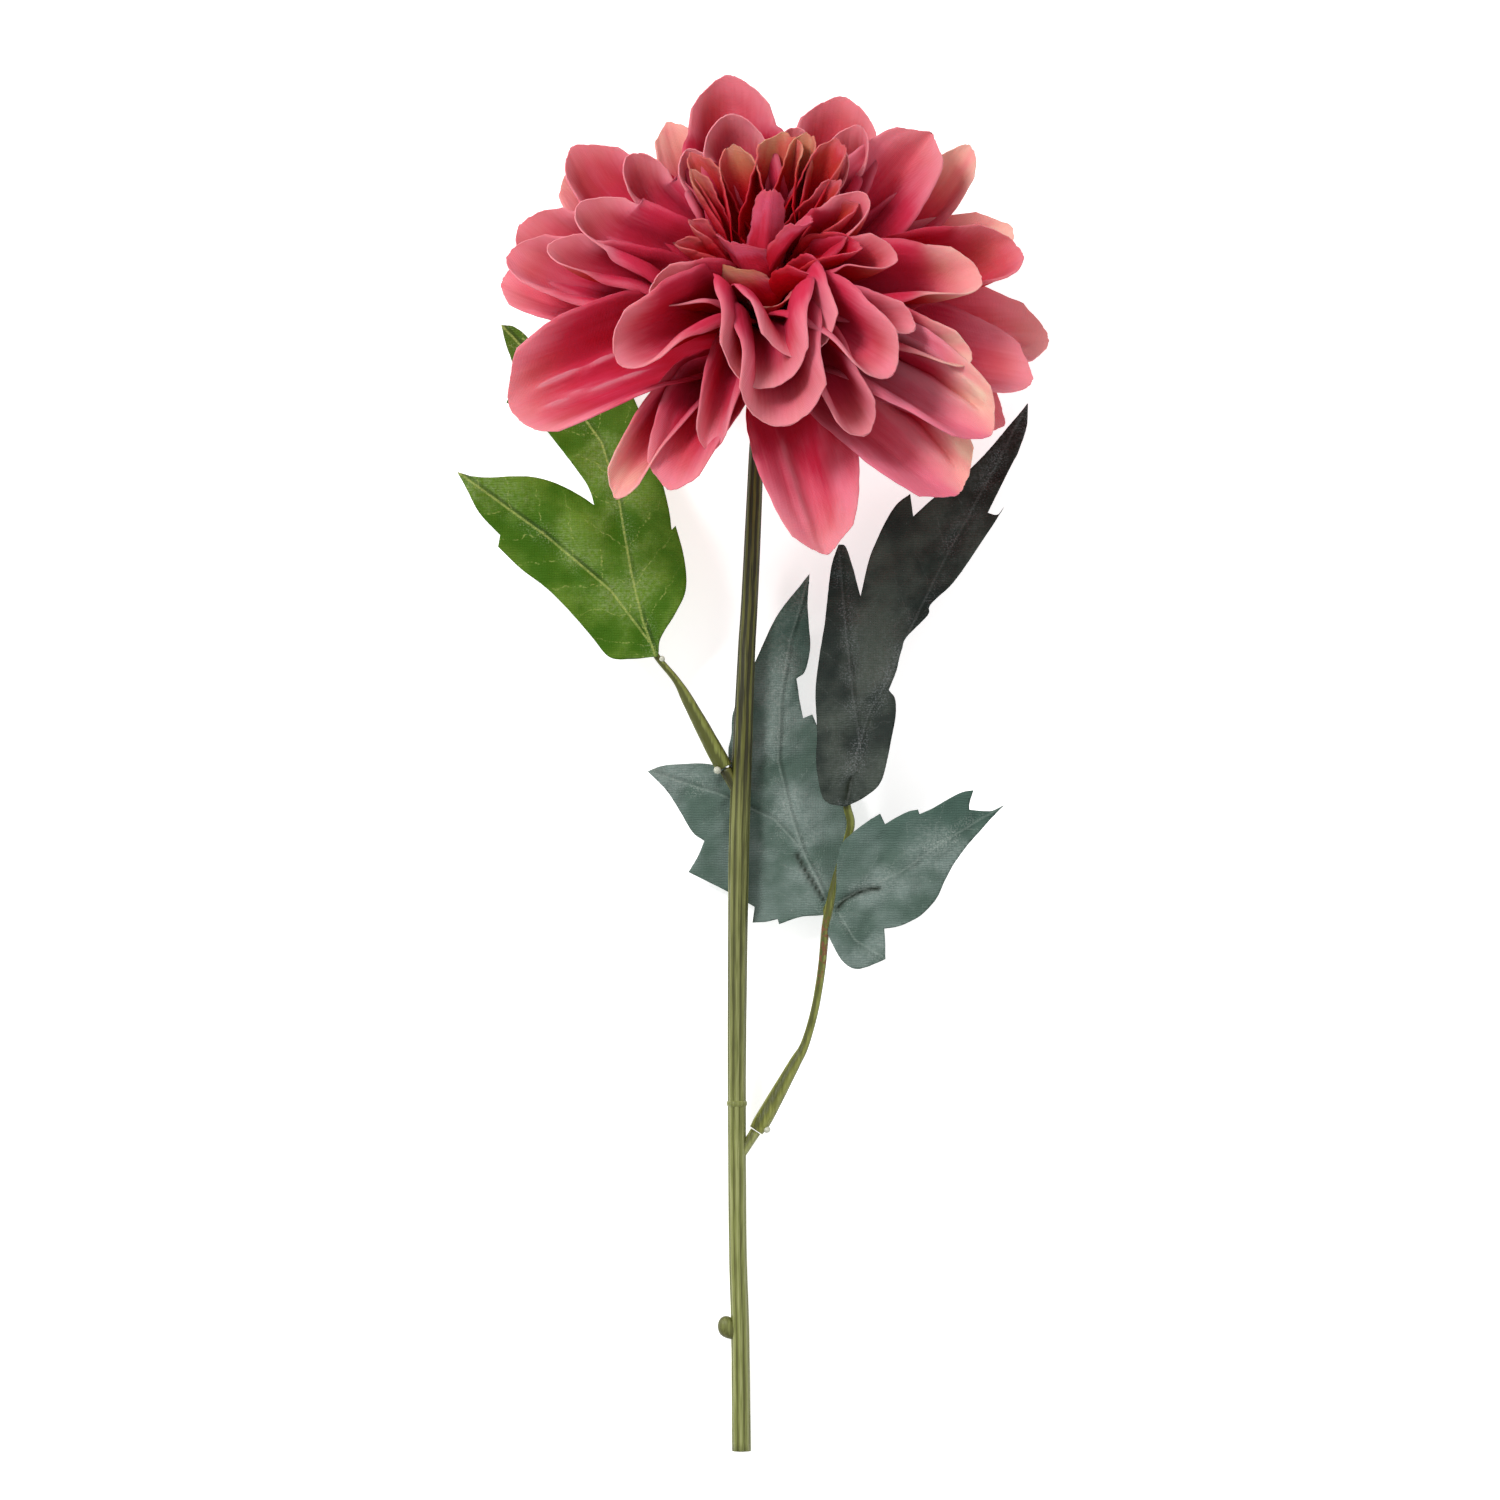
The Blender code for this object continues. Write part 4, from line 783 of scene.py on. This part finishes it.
def make_stem(look):
    """The ribbed stem with its stubs, moulding ring and leaf scar."""
    work = bmesh.new()
    groove = work.verts.layers.float.new("groove")
    tube(work, stem_route(), STEM_SIDES, AHEAD, stem_ring, groove)
    for start, end, radius in (STUB_LEFT, STUB_RIGHT):
        line = [(*start, radius * 0.9), (*end, radius)]
        tube(work, smooth_route(line, STUB_STEPS), STUB_SIDES, AHEAD, stalk_ring, groove)
    x, y, radius = MOULDING_RING
    ring_line = []
    for step, swell in RING_SWELL:
        ring_line.append((x, y + step * MOULDING_RING_HEIGHT / 2, stem_depth(y), radius * swell))
    tube(work, ring_line, RING_SIDES, AHEAD, plain_ring, groove)
    knob = bmesh.ops.create_uvsphere(work, u_segments=24, v_segments=16, radius=1)["verts"]
    for vert in knob:
        # Painted shade on the scar, with painted light on its side towards the viewer and up the stem
        vert[groove] = SCAR_PAINTED_SHADE - 0.7 * max(vert.co.z + 0.4 * vert.co.y, 0) ** 2
        vert.co.x += SCAR_TAPER * min(vert.co.y, 0) ** 2
    scar_x, scar_y = LEAF_SCAR
    place = Matrix.Translation((scar_x, scar_y, stem_depth(scar_y)))
    shape = place @ Matrix.Rotation(LEAF_SCAR_TURN, 4, "Z") @ Matrix.Diagonal((*LEAF_SCAR_RADII, 1))
    bmesh.ops.transform(work, matrix=shape, verts=knob)
    bmesh.ops.recalc_face_normals(work, faces=work.faces)
    finish_piece("ribbed_stem", work, [look], ["stem"])


def make_stalks(look):
    """Both leaf stalks, the right one with its fork."""
    for name, lines, node in (
        ("left_stalk", [STALK_LEFT], "stalk_left"),
        ("right_stalk", [STALK_RIGHT, STALK_FORK], "stalk_right"),
    ):
        work = bmesh.new()
        groove = work.verts.layers.float.new("groove")
        for line in lines:
            tube(work, smooth_route(line, STALK_STEPS), STALK_SIDES, AHEAD, stalk_ring, groove)
        bmesh.ops.recalc_face_normals(work, faces=work.faces)
        finish_piece(name, work, [look], [node])


def make_glue(look):
    """The beads of dried glue where the stalks sit on their stubs and where the left leaf is fixed."""
    work = bmesh.new()
    for x, y, z, radius in GLUE_BEADS:
        bead = bmesh.ops.create_icosphere(work, subdivisions=4, radius=radius)["verts"]
        for vert in bead:
            vert.co *= 1 + 0.18 * noise.noise(vert.co * 0.9 + Vector((x, y, z)))
        bmesh.ops.translate(work, vec=(x, y, z), verts=bead)
    finish_piece("glue_beads", work, [look], ["stalk_left", "stalk_right"])


def make_calyx(look):
    """The green cup under the bloom and its ring of pointed sepals."""
    work = bmesh.new()
    groove = work.verts.layers.float.new("groove")
    line = [(0, 0, height, radius) for height, radius in CALYX_PROFILE]
    tube(work, smooth_route(line, CALYX_STEPS), CALYX_SIDES, Vector((0, 1, 0)), stalk_ring, groove)
    bmesh.ops.recalc_face_normals(work, faces=work.faces)
    work.transform(bloom_frame())
    finish_piece("calyx_cup", work, [look], ["calyx"])
    work = bmesh.new()
    columns, rows = SEPAL_GRID
    line = smooth_route([(*point, half) for point, half in zip(SEPAL_LINE, SEPAL_HALF_WIDTHS)], CALYX_STEPS)
    for index in range(SEPALS):
        grid = grid_verts(work, columns, rows)
        for vert, _, row in grid:
            side = vert.co.x
            out, height, half = line[row]
            curl = 0.8 * abs(side) + 0.3 * math.sin(6 * side) + 0.4 * math.sin(0.5 * row + index)
            vert.co = (out, side * half, height + curl)
        turn = Matrix.Rotation(2 * math.pi * (index + 0.5) / SEPALS, 4, "Z")
        bmesh.ops.transform(work, matrix=turn, verts=[vert for vert, _, _ in grid])
    work.transform(bloom_frame())
    sepals = finish_piece("sepals", work, [look], ["calyx"])
    thicken(sepals, SEPAL_THICKNESS)


# Leaves


def nearest_on_rib(x, y, rib):
    """The distance to a rib, the height there, the way along it, and which side of it the point lies on."""
    best = None
    along = 0.0
    for (x0, y0, z0), (x1, y1, z1) in zip(rib[:-1], rib[1:]):
        length = math.hypot(x1 - x0, y1 - y0)
        share = ((x - x0) * (x1 - x0) + (y - y0) * (y1 - y0)) / length ** 2
        share = min(1, max(0, share))
        distance = math.hypot(x - x0 - share * (x1 - x0), y - y0 - share * (y1 - y0))
        if best is None or distance < best[0]:
            side = (x1 - x0) * (y - y0) - (y1 - y0) * (x - x0)
            best = (distance, z0 + share * (z1 - z0), along + share * length, math.copysign(1, side))
        along += length
    return best


def blade_height(x, y, near_ribs, fold, wave):
    """The height of a leaf blade: near each rib it follows the rib, and it waves towards the edge."""
    total = 0.0
    weight = 0.0
    for number, (distance, height, along, side) in enumerate(near_ribs):
        edge = min(1, distance / WAVE_REACH)
        ripple = wave * edge ** 2 * math.sin(2 * math.pi * along / WAVE_PITCH + side + 2 * number)
        share = 1 / (distance + 0.6) ** 2
        total += share * (height + fold * distance + ripple)
        weight += share
    return total / weight


def rib_press(x, y, press):
    """How strongly the ribs are pressed into the cloth here, from 0 to 1."""
    return min(1, max(0, press * (0.75 + 1.1 * noise_on(x, y, 13, 11.3))))


def crease_mark(x, y, creases):
    """How close a sharp crease runs, from 0 to 1."""
    return max([bulge(nearest_on_rib(x, y, line)[0], 0, CREASE_REACH) for line in creases] + [0])


def leaf_relief(x, y, near_ribs, press, crumple):
    """The pressed veins and the soft crumple of a leaf, as a height in mm."""
    distance, _, along, side = min(near_ribs)
    rib = 0.3 * bulge(distance, 0, 0.6) + 0.3 * bulge(distance, 2.6, 1.3)
    groove = -0.7 * bulge(distance * side, -1, 0.9)
    phase = (along - distance) / VEIN_PITCH
    off_vein = abs(phase - round(phase)) * VEIN_PITCH
    vein = -0.3 * bulge(off_vein, 0, 0.9) * min(1, distance / 2)
    near = 1 + 1.2 * bulge(distance, 0, 7)
    folds = 0.7 * noise_on(x, y, 11, 3.1) + 0.3 * noise_on(x, y, 4, 8.4) + 0.12 * noise_on(x, y, 1.6, 5.7)
    return press * (rib + groove + vein) + crumple * near * folds


def leaf_outline(runs):
    """The closed outline of a leaf: each run smoothed, with its sharp corners kept."""
    corners = []
    for run, after in zip(runs, runs[1:] + runs[:1]):
        if len(run) > 1:
            corners += [tuple(point) for point in smooth_route(run + after[:1], LEAF_STEPS)[:-1]]
        else:
            corners += run
    return corners


def leaf_sheet(runs):
    """The flat leaf, cut to its outline."""
    flat = bpy.data.curves.new("leaf_outline", "CURVE")
    flat.dimensions = "2D"
    flat.fill_mode = "BOTH"
    places = leaf_outline(runs)
    spline = flat.splines.new("POLY")
    spline.points.add(len(places) - 1)
    for point, place in zip(spline.points, places):
        point.co = (*place, 0, 1)
    spline.use_cyclic_u = True
    holder = bpy.data.objects.new("leaf_outline", flat)
    mesh = bpy.data.meshes.new_from_object(holder)
    work = bmesh.new()
    work.from_mesh(mesh)
    bmesh.ops.dissolve_faces(work, faces=work.faces)
    bpy.data.objects.remove(holder)
    bpy.data.meshes.remove(mesh)
    bpy.data.curves.remove(flat)
    return work


def lie_over(x, y, height, stalk):
    """The height of the cloth where it passes over a stalk, with a soft slope on both sides."""
    distance, top, _, _ = nearest_on_rib(x, y, [(x0, y0, z0 + radius) for x0, y0, z0, radius in stalk])
    near = max(0, 1 - distance / LIE_OVER_REACH)
    return height + max(0, top + LIE_OVER_GAP - height) * near ** 2 * (3 - 2 * near)


def make_leaf(name, node, slot_name, look, runs, ribs, form):
    """A cut leaf: the flat sheet split by a fine grid, bent along its ribs, pressed and thickened."""
    work = leaf_sheet(runs)
    for axis in (0, 1):
        low = min(vert.co[axis] for vert in work.verts)
        high = max(vert.co[axis] for vert in work.verts)
        cuts = int((high - low) / LEAF_GRID)
        for step in range(1, cuts + 1):
            place = [0, 0, 0]
            normal = [0, 0, 0]
            place[axis] = low + step * (high - low) / (cuts + 1)
            normal[axis] = 1
            everything = work.verts[:] + work.edges[:] + work.faces[:]
            bmesh.ops.bisect_plane(work, geom=everything, plane_co=place, plane_no=normal, dist=0.001)
    bmesh.ops.triangulate(work, faces=work.faces)
    layers = [work.verts.layers.float.new(layer) for layer in LEAF_LAYERS]
    low_y = min(vert.co.y for vert in work.verts)
    high_y = max(vert.co.y for vert in work.verts)
    for vert in work.verts:
        x, y, _ = vert.co
        near_ribs = [nearest_on_rib(x, y, rib) for rib in ribs]
        first, second = near_ribs
        share = (y - low_y) / (high_y - low_y)
        press = rib_press(x, y, form["press"])
        crease = crease_mark(x, y, form["creases"])
        # How near a sharp crease runs is kept for the painted shade in it
        values = (x, y, first[0] * first[3], first[2], second[0] * second[3], second[2], share, press, crease)
        for layer, value in zip(layers, values):
            vert[layer] = value
        height = blade_height(x, y, near_ribs, form["fold"], form["wave"])
        height += leaf_relief(x, y, near_ribs, press, form["crumple"]) - CREASE_DEPTH * crease
        vert.co.z = lie_over(x, y, height, form["stalk"])
    bmesh.ops.recalc_face_normals(work, faces=work.faces)
    leaf = finish_piece(name, work, [look], [node])
    thicken(leaf, CLOTH)


# Materials


def srgb(code):
    """A colour given as six hexadecimal digits, in linear values."""
    channels = [int(code[index:index + 2], 16) / 255 for index in (0, 2, 4)]
    linear = [c / 12.92 if c <= 0.04045 else ((c + 0.055) / 1.055) ** 2.4 for c in channels]
    return (*linear, 1)


def add_node(kind, inputs, tree=None, **settings):
    """A shader node. Each input is a value or another node's output, whose tree the new node joins."""
    outputs = [value for value in inputs.values() if isinstance(value, bpy.types.NodeSocket)]
    tree = outputs[0].id_data if outputs else tree
    made = tree.nodes.new(kind)
    for name, value in settings.items():
        setattr(made, name, value)
    for name, value in inputs.items():
        if isinstance(value, bpy.types.NodeSocket):
            tree.links.new(value, made.inputs[name])
        else:
            made.inputs[name].default_value = value
    return made


def calc(operation, *values):
    """One Math node. Each value is a number or another node's output."""
    return add_node("ShaderNodeMath", dict(enumerate(values)), operation=operation).outputs[0]


def times(first, second):
    return calc("MULTIPLY", first, second)


def add(base, value, share=1.0):
    """The base with a share of a value added to it."""
    return calc("MULTIPLY_ADD", value, share, base)


def band(value, low, high, out_low=0.0, out_high=1.0):
    """A smooth step of a value between two limits."""
    inputs = {"Value": value, "From Min": low, "From Max": high, "To Min": out_low, "To Max": out_high}
    return add_node("ShaderNodeMapRange", inputs, interpolation_type="SMOOTHSTEP").outputs[0]


def attribute(tree, name):
    return add_node("ShaderNodeAttribute", {}, tree, attribute_name=name).outputs["Fac"]


def spot(x, y, z=0.0):
    return add_node("ShaderNodeCombineXYZ", {"X": x, "Y": y, "Z": z}).outputs[0]


def noise_at(place, scale, detail):
    return add_node("ShaderNodeTexNoise", {"Vector": place, "Scale": scale, "Detail": detail}).outputs[0]


def ramp(factor, stops):
    """A colour ramp. Each stop has its place and its colour."""
    made = add_node("ShaderNodeValToRGB", {"Fac": factor})
    colours = made.color_ramp.elements
    while len(colours) < len(stops):
        colours.new(0.5)
    for element, (place, code) in zip(colours, stops):
        element.position = place
        element.color = srgb(code)
    return made.outputs["Color"]


def blend(factor, first, second, mode="MIX"):
    """The second colour over the first one. The keys are the node's sockets for colours."""
    inputs = {0: factor, 6: first, 7: second}
    return add_node("ShaderNodeMix", inputs, data_type="RGBA", blend_type=mode).outputs[2]


def darken(colour, shade):
    """A colour times a shade of grey."""
    return blend(1.0, colour, spot(shade, shade, shade), "MULTIPLY")


def new_group(name, given, results):
    """A shader node group with named sockets for numbers."""
    group = bpy.data.node_groups.new(name, "ShaderNodeTree")
    for in_out, names in (("INPUT", given), ("OUTPUT", results)):
        for socket_name in names:
            group.interface.new_socket(name=socket_name, in_out=in_out, socket_type="NodeSocketFloat")
    return group, group.nodes.new("NodeGroupInput").outputs, group.nodes.new("NodeGroupOutput").inputs


def place_group(group, inputs):
    return add_node("ShaderNodeGroup", inputs, node_tree=group).outputs


def weave_group():
    """Plain weave: the height of crossing threads, and how much they stand out here and there."""
    group, given, results = new_group("plain_weave", ("Side", "Length", "Pitch"), ("Height", "Patches"))
    place = spot(given["Side"], given["Length"])
    drift = noise_at(place, 0.5, 2.0)
    threads = []
    for way in ("Side", "Length"):
        turns = add(calc("DIVIDE", given[way], given["Pitch"]), drift, 1.5)
        threads.append(calc("SINE", times(turns, 2 * math.pi)))
    height = add(0.5, add(threads[1], threads[0], 0.4), 0.32)
    group.links.new(height, results["Height"])
    group.links.new(band(noise_at(place, 0.12, 3.0), 0.35, 0.65), results["Patches"])
    return group


def streak_group():
    """Fine streaks and wide clouds along the cloth, different on each petal."""
    given_names = ("Side", "Length", "Seed", "Fineness")
    group, given, results = new_group("lengthwise_streaks", given_names, ("Streaks", "Clouds"))
    along = times(given["Length"], 0.05)
    streaks = noise_at(spot(times(given["Side"], given["Fineness"]), along, given["Seed"]), 1.0, 4.0)
    clouds = noise_at(spot(times(given["Side"], 0.12), along, given["Seed"]), 1.0, 2.0)
    group.links.new(streaks, results["Streaks"])
    group.links.new(clouds, results["Clouds"])
    return group


def new_look(name, constants):
    """A material with its constants on the shader's own sockets."""
    look = bpy.data.materials.new(name)
    look.use_nodes = True
    for socket, value in constants.items():
        look.node_tree.nodes["Principled BSDF"].inputs[socket].default_value = value
    return look, look.node_tree


def dress(look, colour, height=None, distance=0.0):
    """Give a look its colour and, if there is one, its relief."""
    sockets = look.node_tree.nodes["Principled BSDF"].inputs
    look.node_tree.links.new(colour, sockets["Base Color"])
    if height is not None:
        relief = add_node("ShaderNodeBump", {"Height": height, "Distance": distance})
        look.node_tree.links.new(relief.outputs[0], sockets["Normal"])
    return look


def petal_look(name, weave, streaks):
    """Dyed and heat-pressed cloth: deep at the root, paler to the tip, with a pale lip, and painted light on
    its pleats' ridges and painted shade in their valleys.
    """
    stops, lip, cream, warm, rim_share, rim_reach = PETAL_LOOKS[name]
    lip = srgb(lip)
    look, tree = new_look(name, PETAL_SHADER)
    along = attribute(tree, "petal_along")
    rim = attribute(tree, "petal_rim")
    pleat_painted_light = attribute(tree, "pleat_light_and_shade")
    cloth = {"Side": attribute(tree, "cloth_side"), "Length": attribute(tree, "cloth_length")}
    lines = place_group(streaks, {**cloth, "Seed": attribute(tree, "petal_seed"), "Fineness": 0.9})
    threads = place_group(weave, {**cloth, "Pitch": PETAL_THREADS})
    clouds = lines["Clouds"]
    near_rim = times(band(rim, rim_reach, 0.5), band(along, 0.45, 0.9))
    side_rim = times(band(rim, 3.5, 0.5), band(along, 0.2, 0.6, 0.0, 0.75))
    depth = add(times(along, 1 - rim_share), calc("MAXIMUM", near_rim, side_rim), rim_share)
    depth = add(depth, add(-0.5, clouds), 0.6)
    depth = add(depth, add(-0.5, lines["Streaks"]), 0.25)
    depth = add(depth, attribute(tree, "petal_tone"), 0.15)
    # Pleat ridges are painted lighter and pleat valleys darker: painted light and shade
    colour = ramp(add(depth, pleat_painted_light, 0.14), stops)
    pale = times(band(add(rim, add(1.2, clouds, -2.5)), 3.0, 0.0), band(along, 0.25, 0.75))
    pale = times(pale, band(clouds, 0.4, 0.6, 0.3, 1.0))
    creamy = times(attribute(tree, "petal_cream"), band(along, 0.5, 0.95))
    cream = blend(band(clouds, 0.4, 0.62), srgb(cream), srgb(warm))
    colour = blend(times(pale, 0.3), colour, blend(creamy, lip, cream))
    # A painted highlight in the lip's colour on the highest pleat ridges
    colour = blend(band(pleat_painted_light, 0.9, 1.6, 0.0, 0.9), colour, lip)
    colour = blend(times(creamy, band(along, 0.6, 1.0, 0.0, 0.7)), colour, cream)
    return dress(look, colour, add(threads["Height"], lines["Streaks"], 1.5), PETAL_BUMP)


def leaf_look(name, weave):
    """Printed and pressed cloth: patches of painted light and shade for the crumples, pale ribs, broken side
    veins, worn threads with a painted sheen near the ribs, and painted shade in the creases and between the
    threads.
    """
    *codes, vein_share, worn_share = LEAF_LOOKS[name]
    low, high, tip, vein, worn = [srgb(code) for code in codes]
    look, tree = new_look(name, LEAF_SHADER)
    x = attribute(tree, "leaf_x")
    y = attribute(tree, "leaf_y")
    place = spot(x, y)
    threads = place_group(weave, {"Side": x, "Length": y, "Pitch": LEAF_THREADS})
    light_and_shade_noise = noise_at(place, 0.06, 5.0)
    # Painted light and shade in patches, standing for the crumpled cloth
    colour = blend(band(light_and_shade_noise, 0.35, 0.65), low, high)
    colour = blend(band(attribute(tree, "leaf_share"), 0.55, 0.95), colour, tip)
    wander = noise_at(place, 0.25, 2.0)
    broken = band(noise_at(place, 1.1, 2.0), 0.42, 0.6)
    marks = [rib_marks(tree, ending, wander, broken) for ending in ("", "_2")]
    (first_way, first_veins, first_crease_shade), (second_way, second_veins, second_crease_shade) = marks
    nearer = calc("LESS_THAN", first_way, second_way)
    distance = calc("MINIMUM", first_way, second_way)
    veins = pick_mark(nearer, first_veins, second_veins)
    # The painted shade in the crease beside the nearer rib, where the ribs are pressed, and along the sharp
    # creases
    crease = times(pick_mark(nearer, first_crease_shade, second_crease_shade), attribute(tree, "rib_press"))
    crease = calc("MAXIMUM", crease, times(attribute(tree, "crease_shade"), 2.2))
    # Lighter patches near the ribs: worn threads and a painted sheen
    frayed_and_sheen = times(band(distance, 15.0, 0.5), band(light_and_shade_noise, 0.42, 0.6))
    frayed_and_sheen = times(frayed_and_sheen, band(noise_at(place, 0.9, 4.0), 0.35, 0.7))
    flecks = times(band(noise_at(place, 2.0, 3.0), 0.48, 0.66), band(distance, 5.0, 0.5))
    flecks = times(flecks, band(noise_at(place, 0.1, 2.0), 0.4, 0.6))
    specks = band(noise_at(place, 1.3, 2.0), 0.68, 0.8, 0.0, 0.5)
    colour = blend(times(frayed_and_sheen, worn_share), colour, worn)
    colour = blend(times(flecks, 0.5), colour, worn)
    # Painted shade in the creases
    colour = blend(times(crease, 0.45), colour, srgb(CREASE_SHADE_COLOUR))
    colour = blend(times(veins, vein_share), colour, vein)
    colour = blend(specks, colour, worn)
    # Painted shade between the threads and painted light on their tops, in patches where the weave stands out
    shaded = darken(colour, add(0.85, threads["Height"], 0.3))
    colour = blend(threads["Patches"], colour, shaded)
    return dress(look, colour, add(threads["Height"], light_and_shade_noise, 2.0), LEAF_BUMP)


def rib_marks(tree, ending, wander, broken):
    """The distance from one rib, its broken veins, and the painted shade of the crease that runs beside it.
    """
    side = attribute(tree, "rib_distance" + ending)
    distance = calc("ABSOLUTE", side)
    rib = times(band(distance, 0.5, 0.15), add(0.5, broken, 0.5))
    crease = band(calc("ABSOLUTE", add(0.9, side)), 0.9, 0.1)
    phase = calc("DIVIDE", calc("SUBTRACT", attribute(tree, "rib_along" + ending), distance), VEIN_PITCH)
    near = calc("PINGPONG", add(phase, wander, 0.4), 0.5)
    vein = times(times(band(near, 0.035, 0.0, 0.0, 0.8), broken), band(distance, 18.0, 5.0))
    return distance, calc("MAXIMUM", rib, vein), crease


def pick_mark(nearer, first, second):
    """The mark of the nearer rib."""
    return add(times(second, calc("SUBTRACT", 1.0, nearer)), first, nearer)


def moulded_look(name):
    """Moulded plastic: light ribs with painted shade in the grooves, and another pair of colours in the upper
    part.
    """
    lower, upper, scuffed = MOULDED_LOOKS[name]
    look, tree = new_look(name, MOULDED_SHADER)
    place = add_node("ShaderNodeTexCoord", {}, tree).outputs["Object"]
    stretched = add_node("ShaderNodeMapping", {"Vector": place, "Scale": STREAK_SCALE}).outputs[0]
    streaks = noise_at(stretched, 1.0, 3.0)
    # Deeper in a groove is darker: painted shade
    depth = add(attribute(tree, "groove"), add(-0.5, streaks), 1.6)
    height = add_node("ShaderNodeSeparateXYZ", {"Vector": place}).outputs["Y"]
    darker = add(band(height, *STEM_DARKENS, 0.0, 0.55), band(height, *STEM_DARKEST, 0.0, 0.45))
    colour = blend(darker, ramp(depth, lower), ramp(depth, upper))
    way = calc("ABSOLUTE", calc("SUBTRACT", height, SCUFF_PLACE))
    scuffs = band(way, SCUFF_REACH, SCUFF_CORE, 0.0, scuffed)
    scuffs = times(scuffs, band(noise_at(place, 700.0, 3.0), 0.5, 0.58))
    return dress(look, blend(scuffs, colour, srgb(SCUFF_COLOUR)), streaks, MOULDED_BUMP)


def plain_look(name, code, roughness):
    """One colour with slight clouds in it."""
    look, tree = new_look(name, {"Roughness": roughness})
    place = add_node("ShaderNodeTexCoord", {}, tree).outputs["Object"]
    shade = band(noise_at(place, 400.0, 2.0), 0.3, 0.7, 0.85, 1.0)
    return dress(look, darken(srgb(code), shade))


# Stage


def make_stage():
    """A pale table, a soft overhead light, and the camera over the flower."""
    work = bmesh.new()
    bmesh.ops.create_grid(work, x_segments=1, y_segments=1, size=TABLE_HALF)
    mesh = bpy.data.meshes.new("table")
    work.to_mesh(mesh)
    work.free()
    table = add_object("table", mesh)
    mesh.materials.append(new_look("table_white", TABLE_SHADER)[0])
    world = bpy.data.worlds.new("studio")
    world.use_nodes = True
    sky = world.node_tree.nodes["Background"].inputs
    sky["Color"].default_value = WHITE
    sky["Strength"].default_value = WORLD_STRENGTH
    bpy.context.scene.world = world
    for name, place, size, power in LIGHTS:
        light = bpy.data.lights.new(name, "AREA")
        light.energy = power
        light.size = size
        lamp = add_object(name, light)
        lamp.location = place
        lamp.rotation_mode = "QUATERNION"
        lamp.rotation_quaternion = (-Vector(place)).to_track_quat("-Z", "Y")
    camera = bpy.data.cameras.new("camera")
    camera_object = add_object("camera", camera)
    place = rest_frame() @ Vector(CAMERA_PLACE)
    camera_object.matrix_world = Matrix.Translation(place) @ Matrix.Rotation(REST_TILT, 4, "X")
    camera.sensor_width = SENSOR_WIDTH
    camera.lens = SENSOR_WIDTH * CAMERA_PLACE[2] / PHOTO_HEIGHT
    bpy.context.scene.camera = camera_object
    bpy.context.scene.view_settings.view_transform = "Standard"


def make_flower():
    """Every piece of the flower with its look."""
    weave = weave_group()
    streaks = streak_group()
    faces = {name: petal_look(name, weave, streaks) for name in PETAL_LOOKS}
    for kind, form in PETAL_KINDS.items():
        make_petals(kind, [faces[name] for name in form["faces"]])
    make_core(plain_look("core_crimson", CORE_COLOUR, 0.6))
    moulded = {name: moulded_look(name) for name in MOULDED_LOOKS}
    make_stem(moulded["moulded_olive"])
    make_stalks(moulded["stalk_olive"])
    make_glue(plain_look("dried_glue", GLUE_COLOUR, 0.25))
    make_calyx(moulded["stalk_olive"])
    cloths = {name: leaf_look(name, weave) for name in LEAF_LOOKS}
    for name, node, slot_name, *shape in LEAVES:
        make_leaf(name, node, slot_name, cloths[slot_name], *shape)


make_flower()
make_stage()
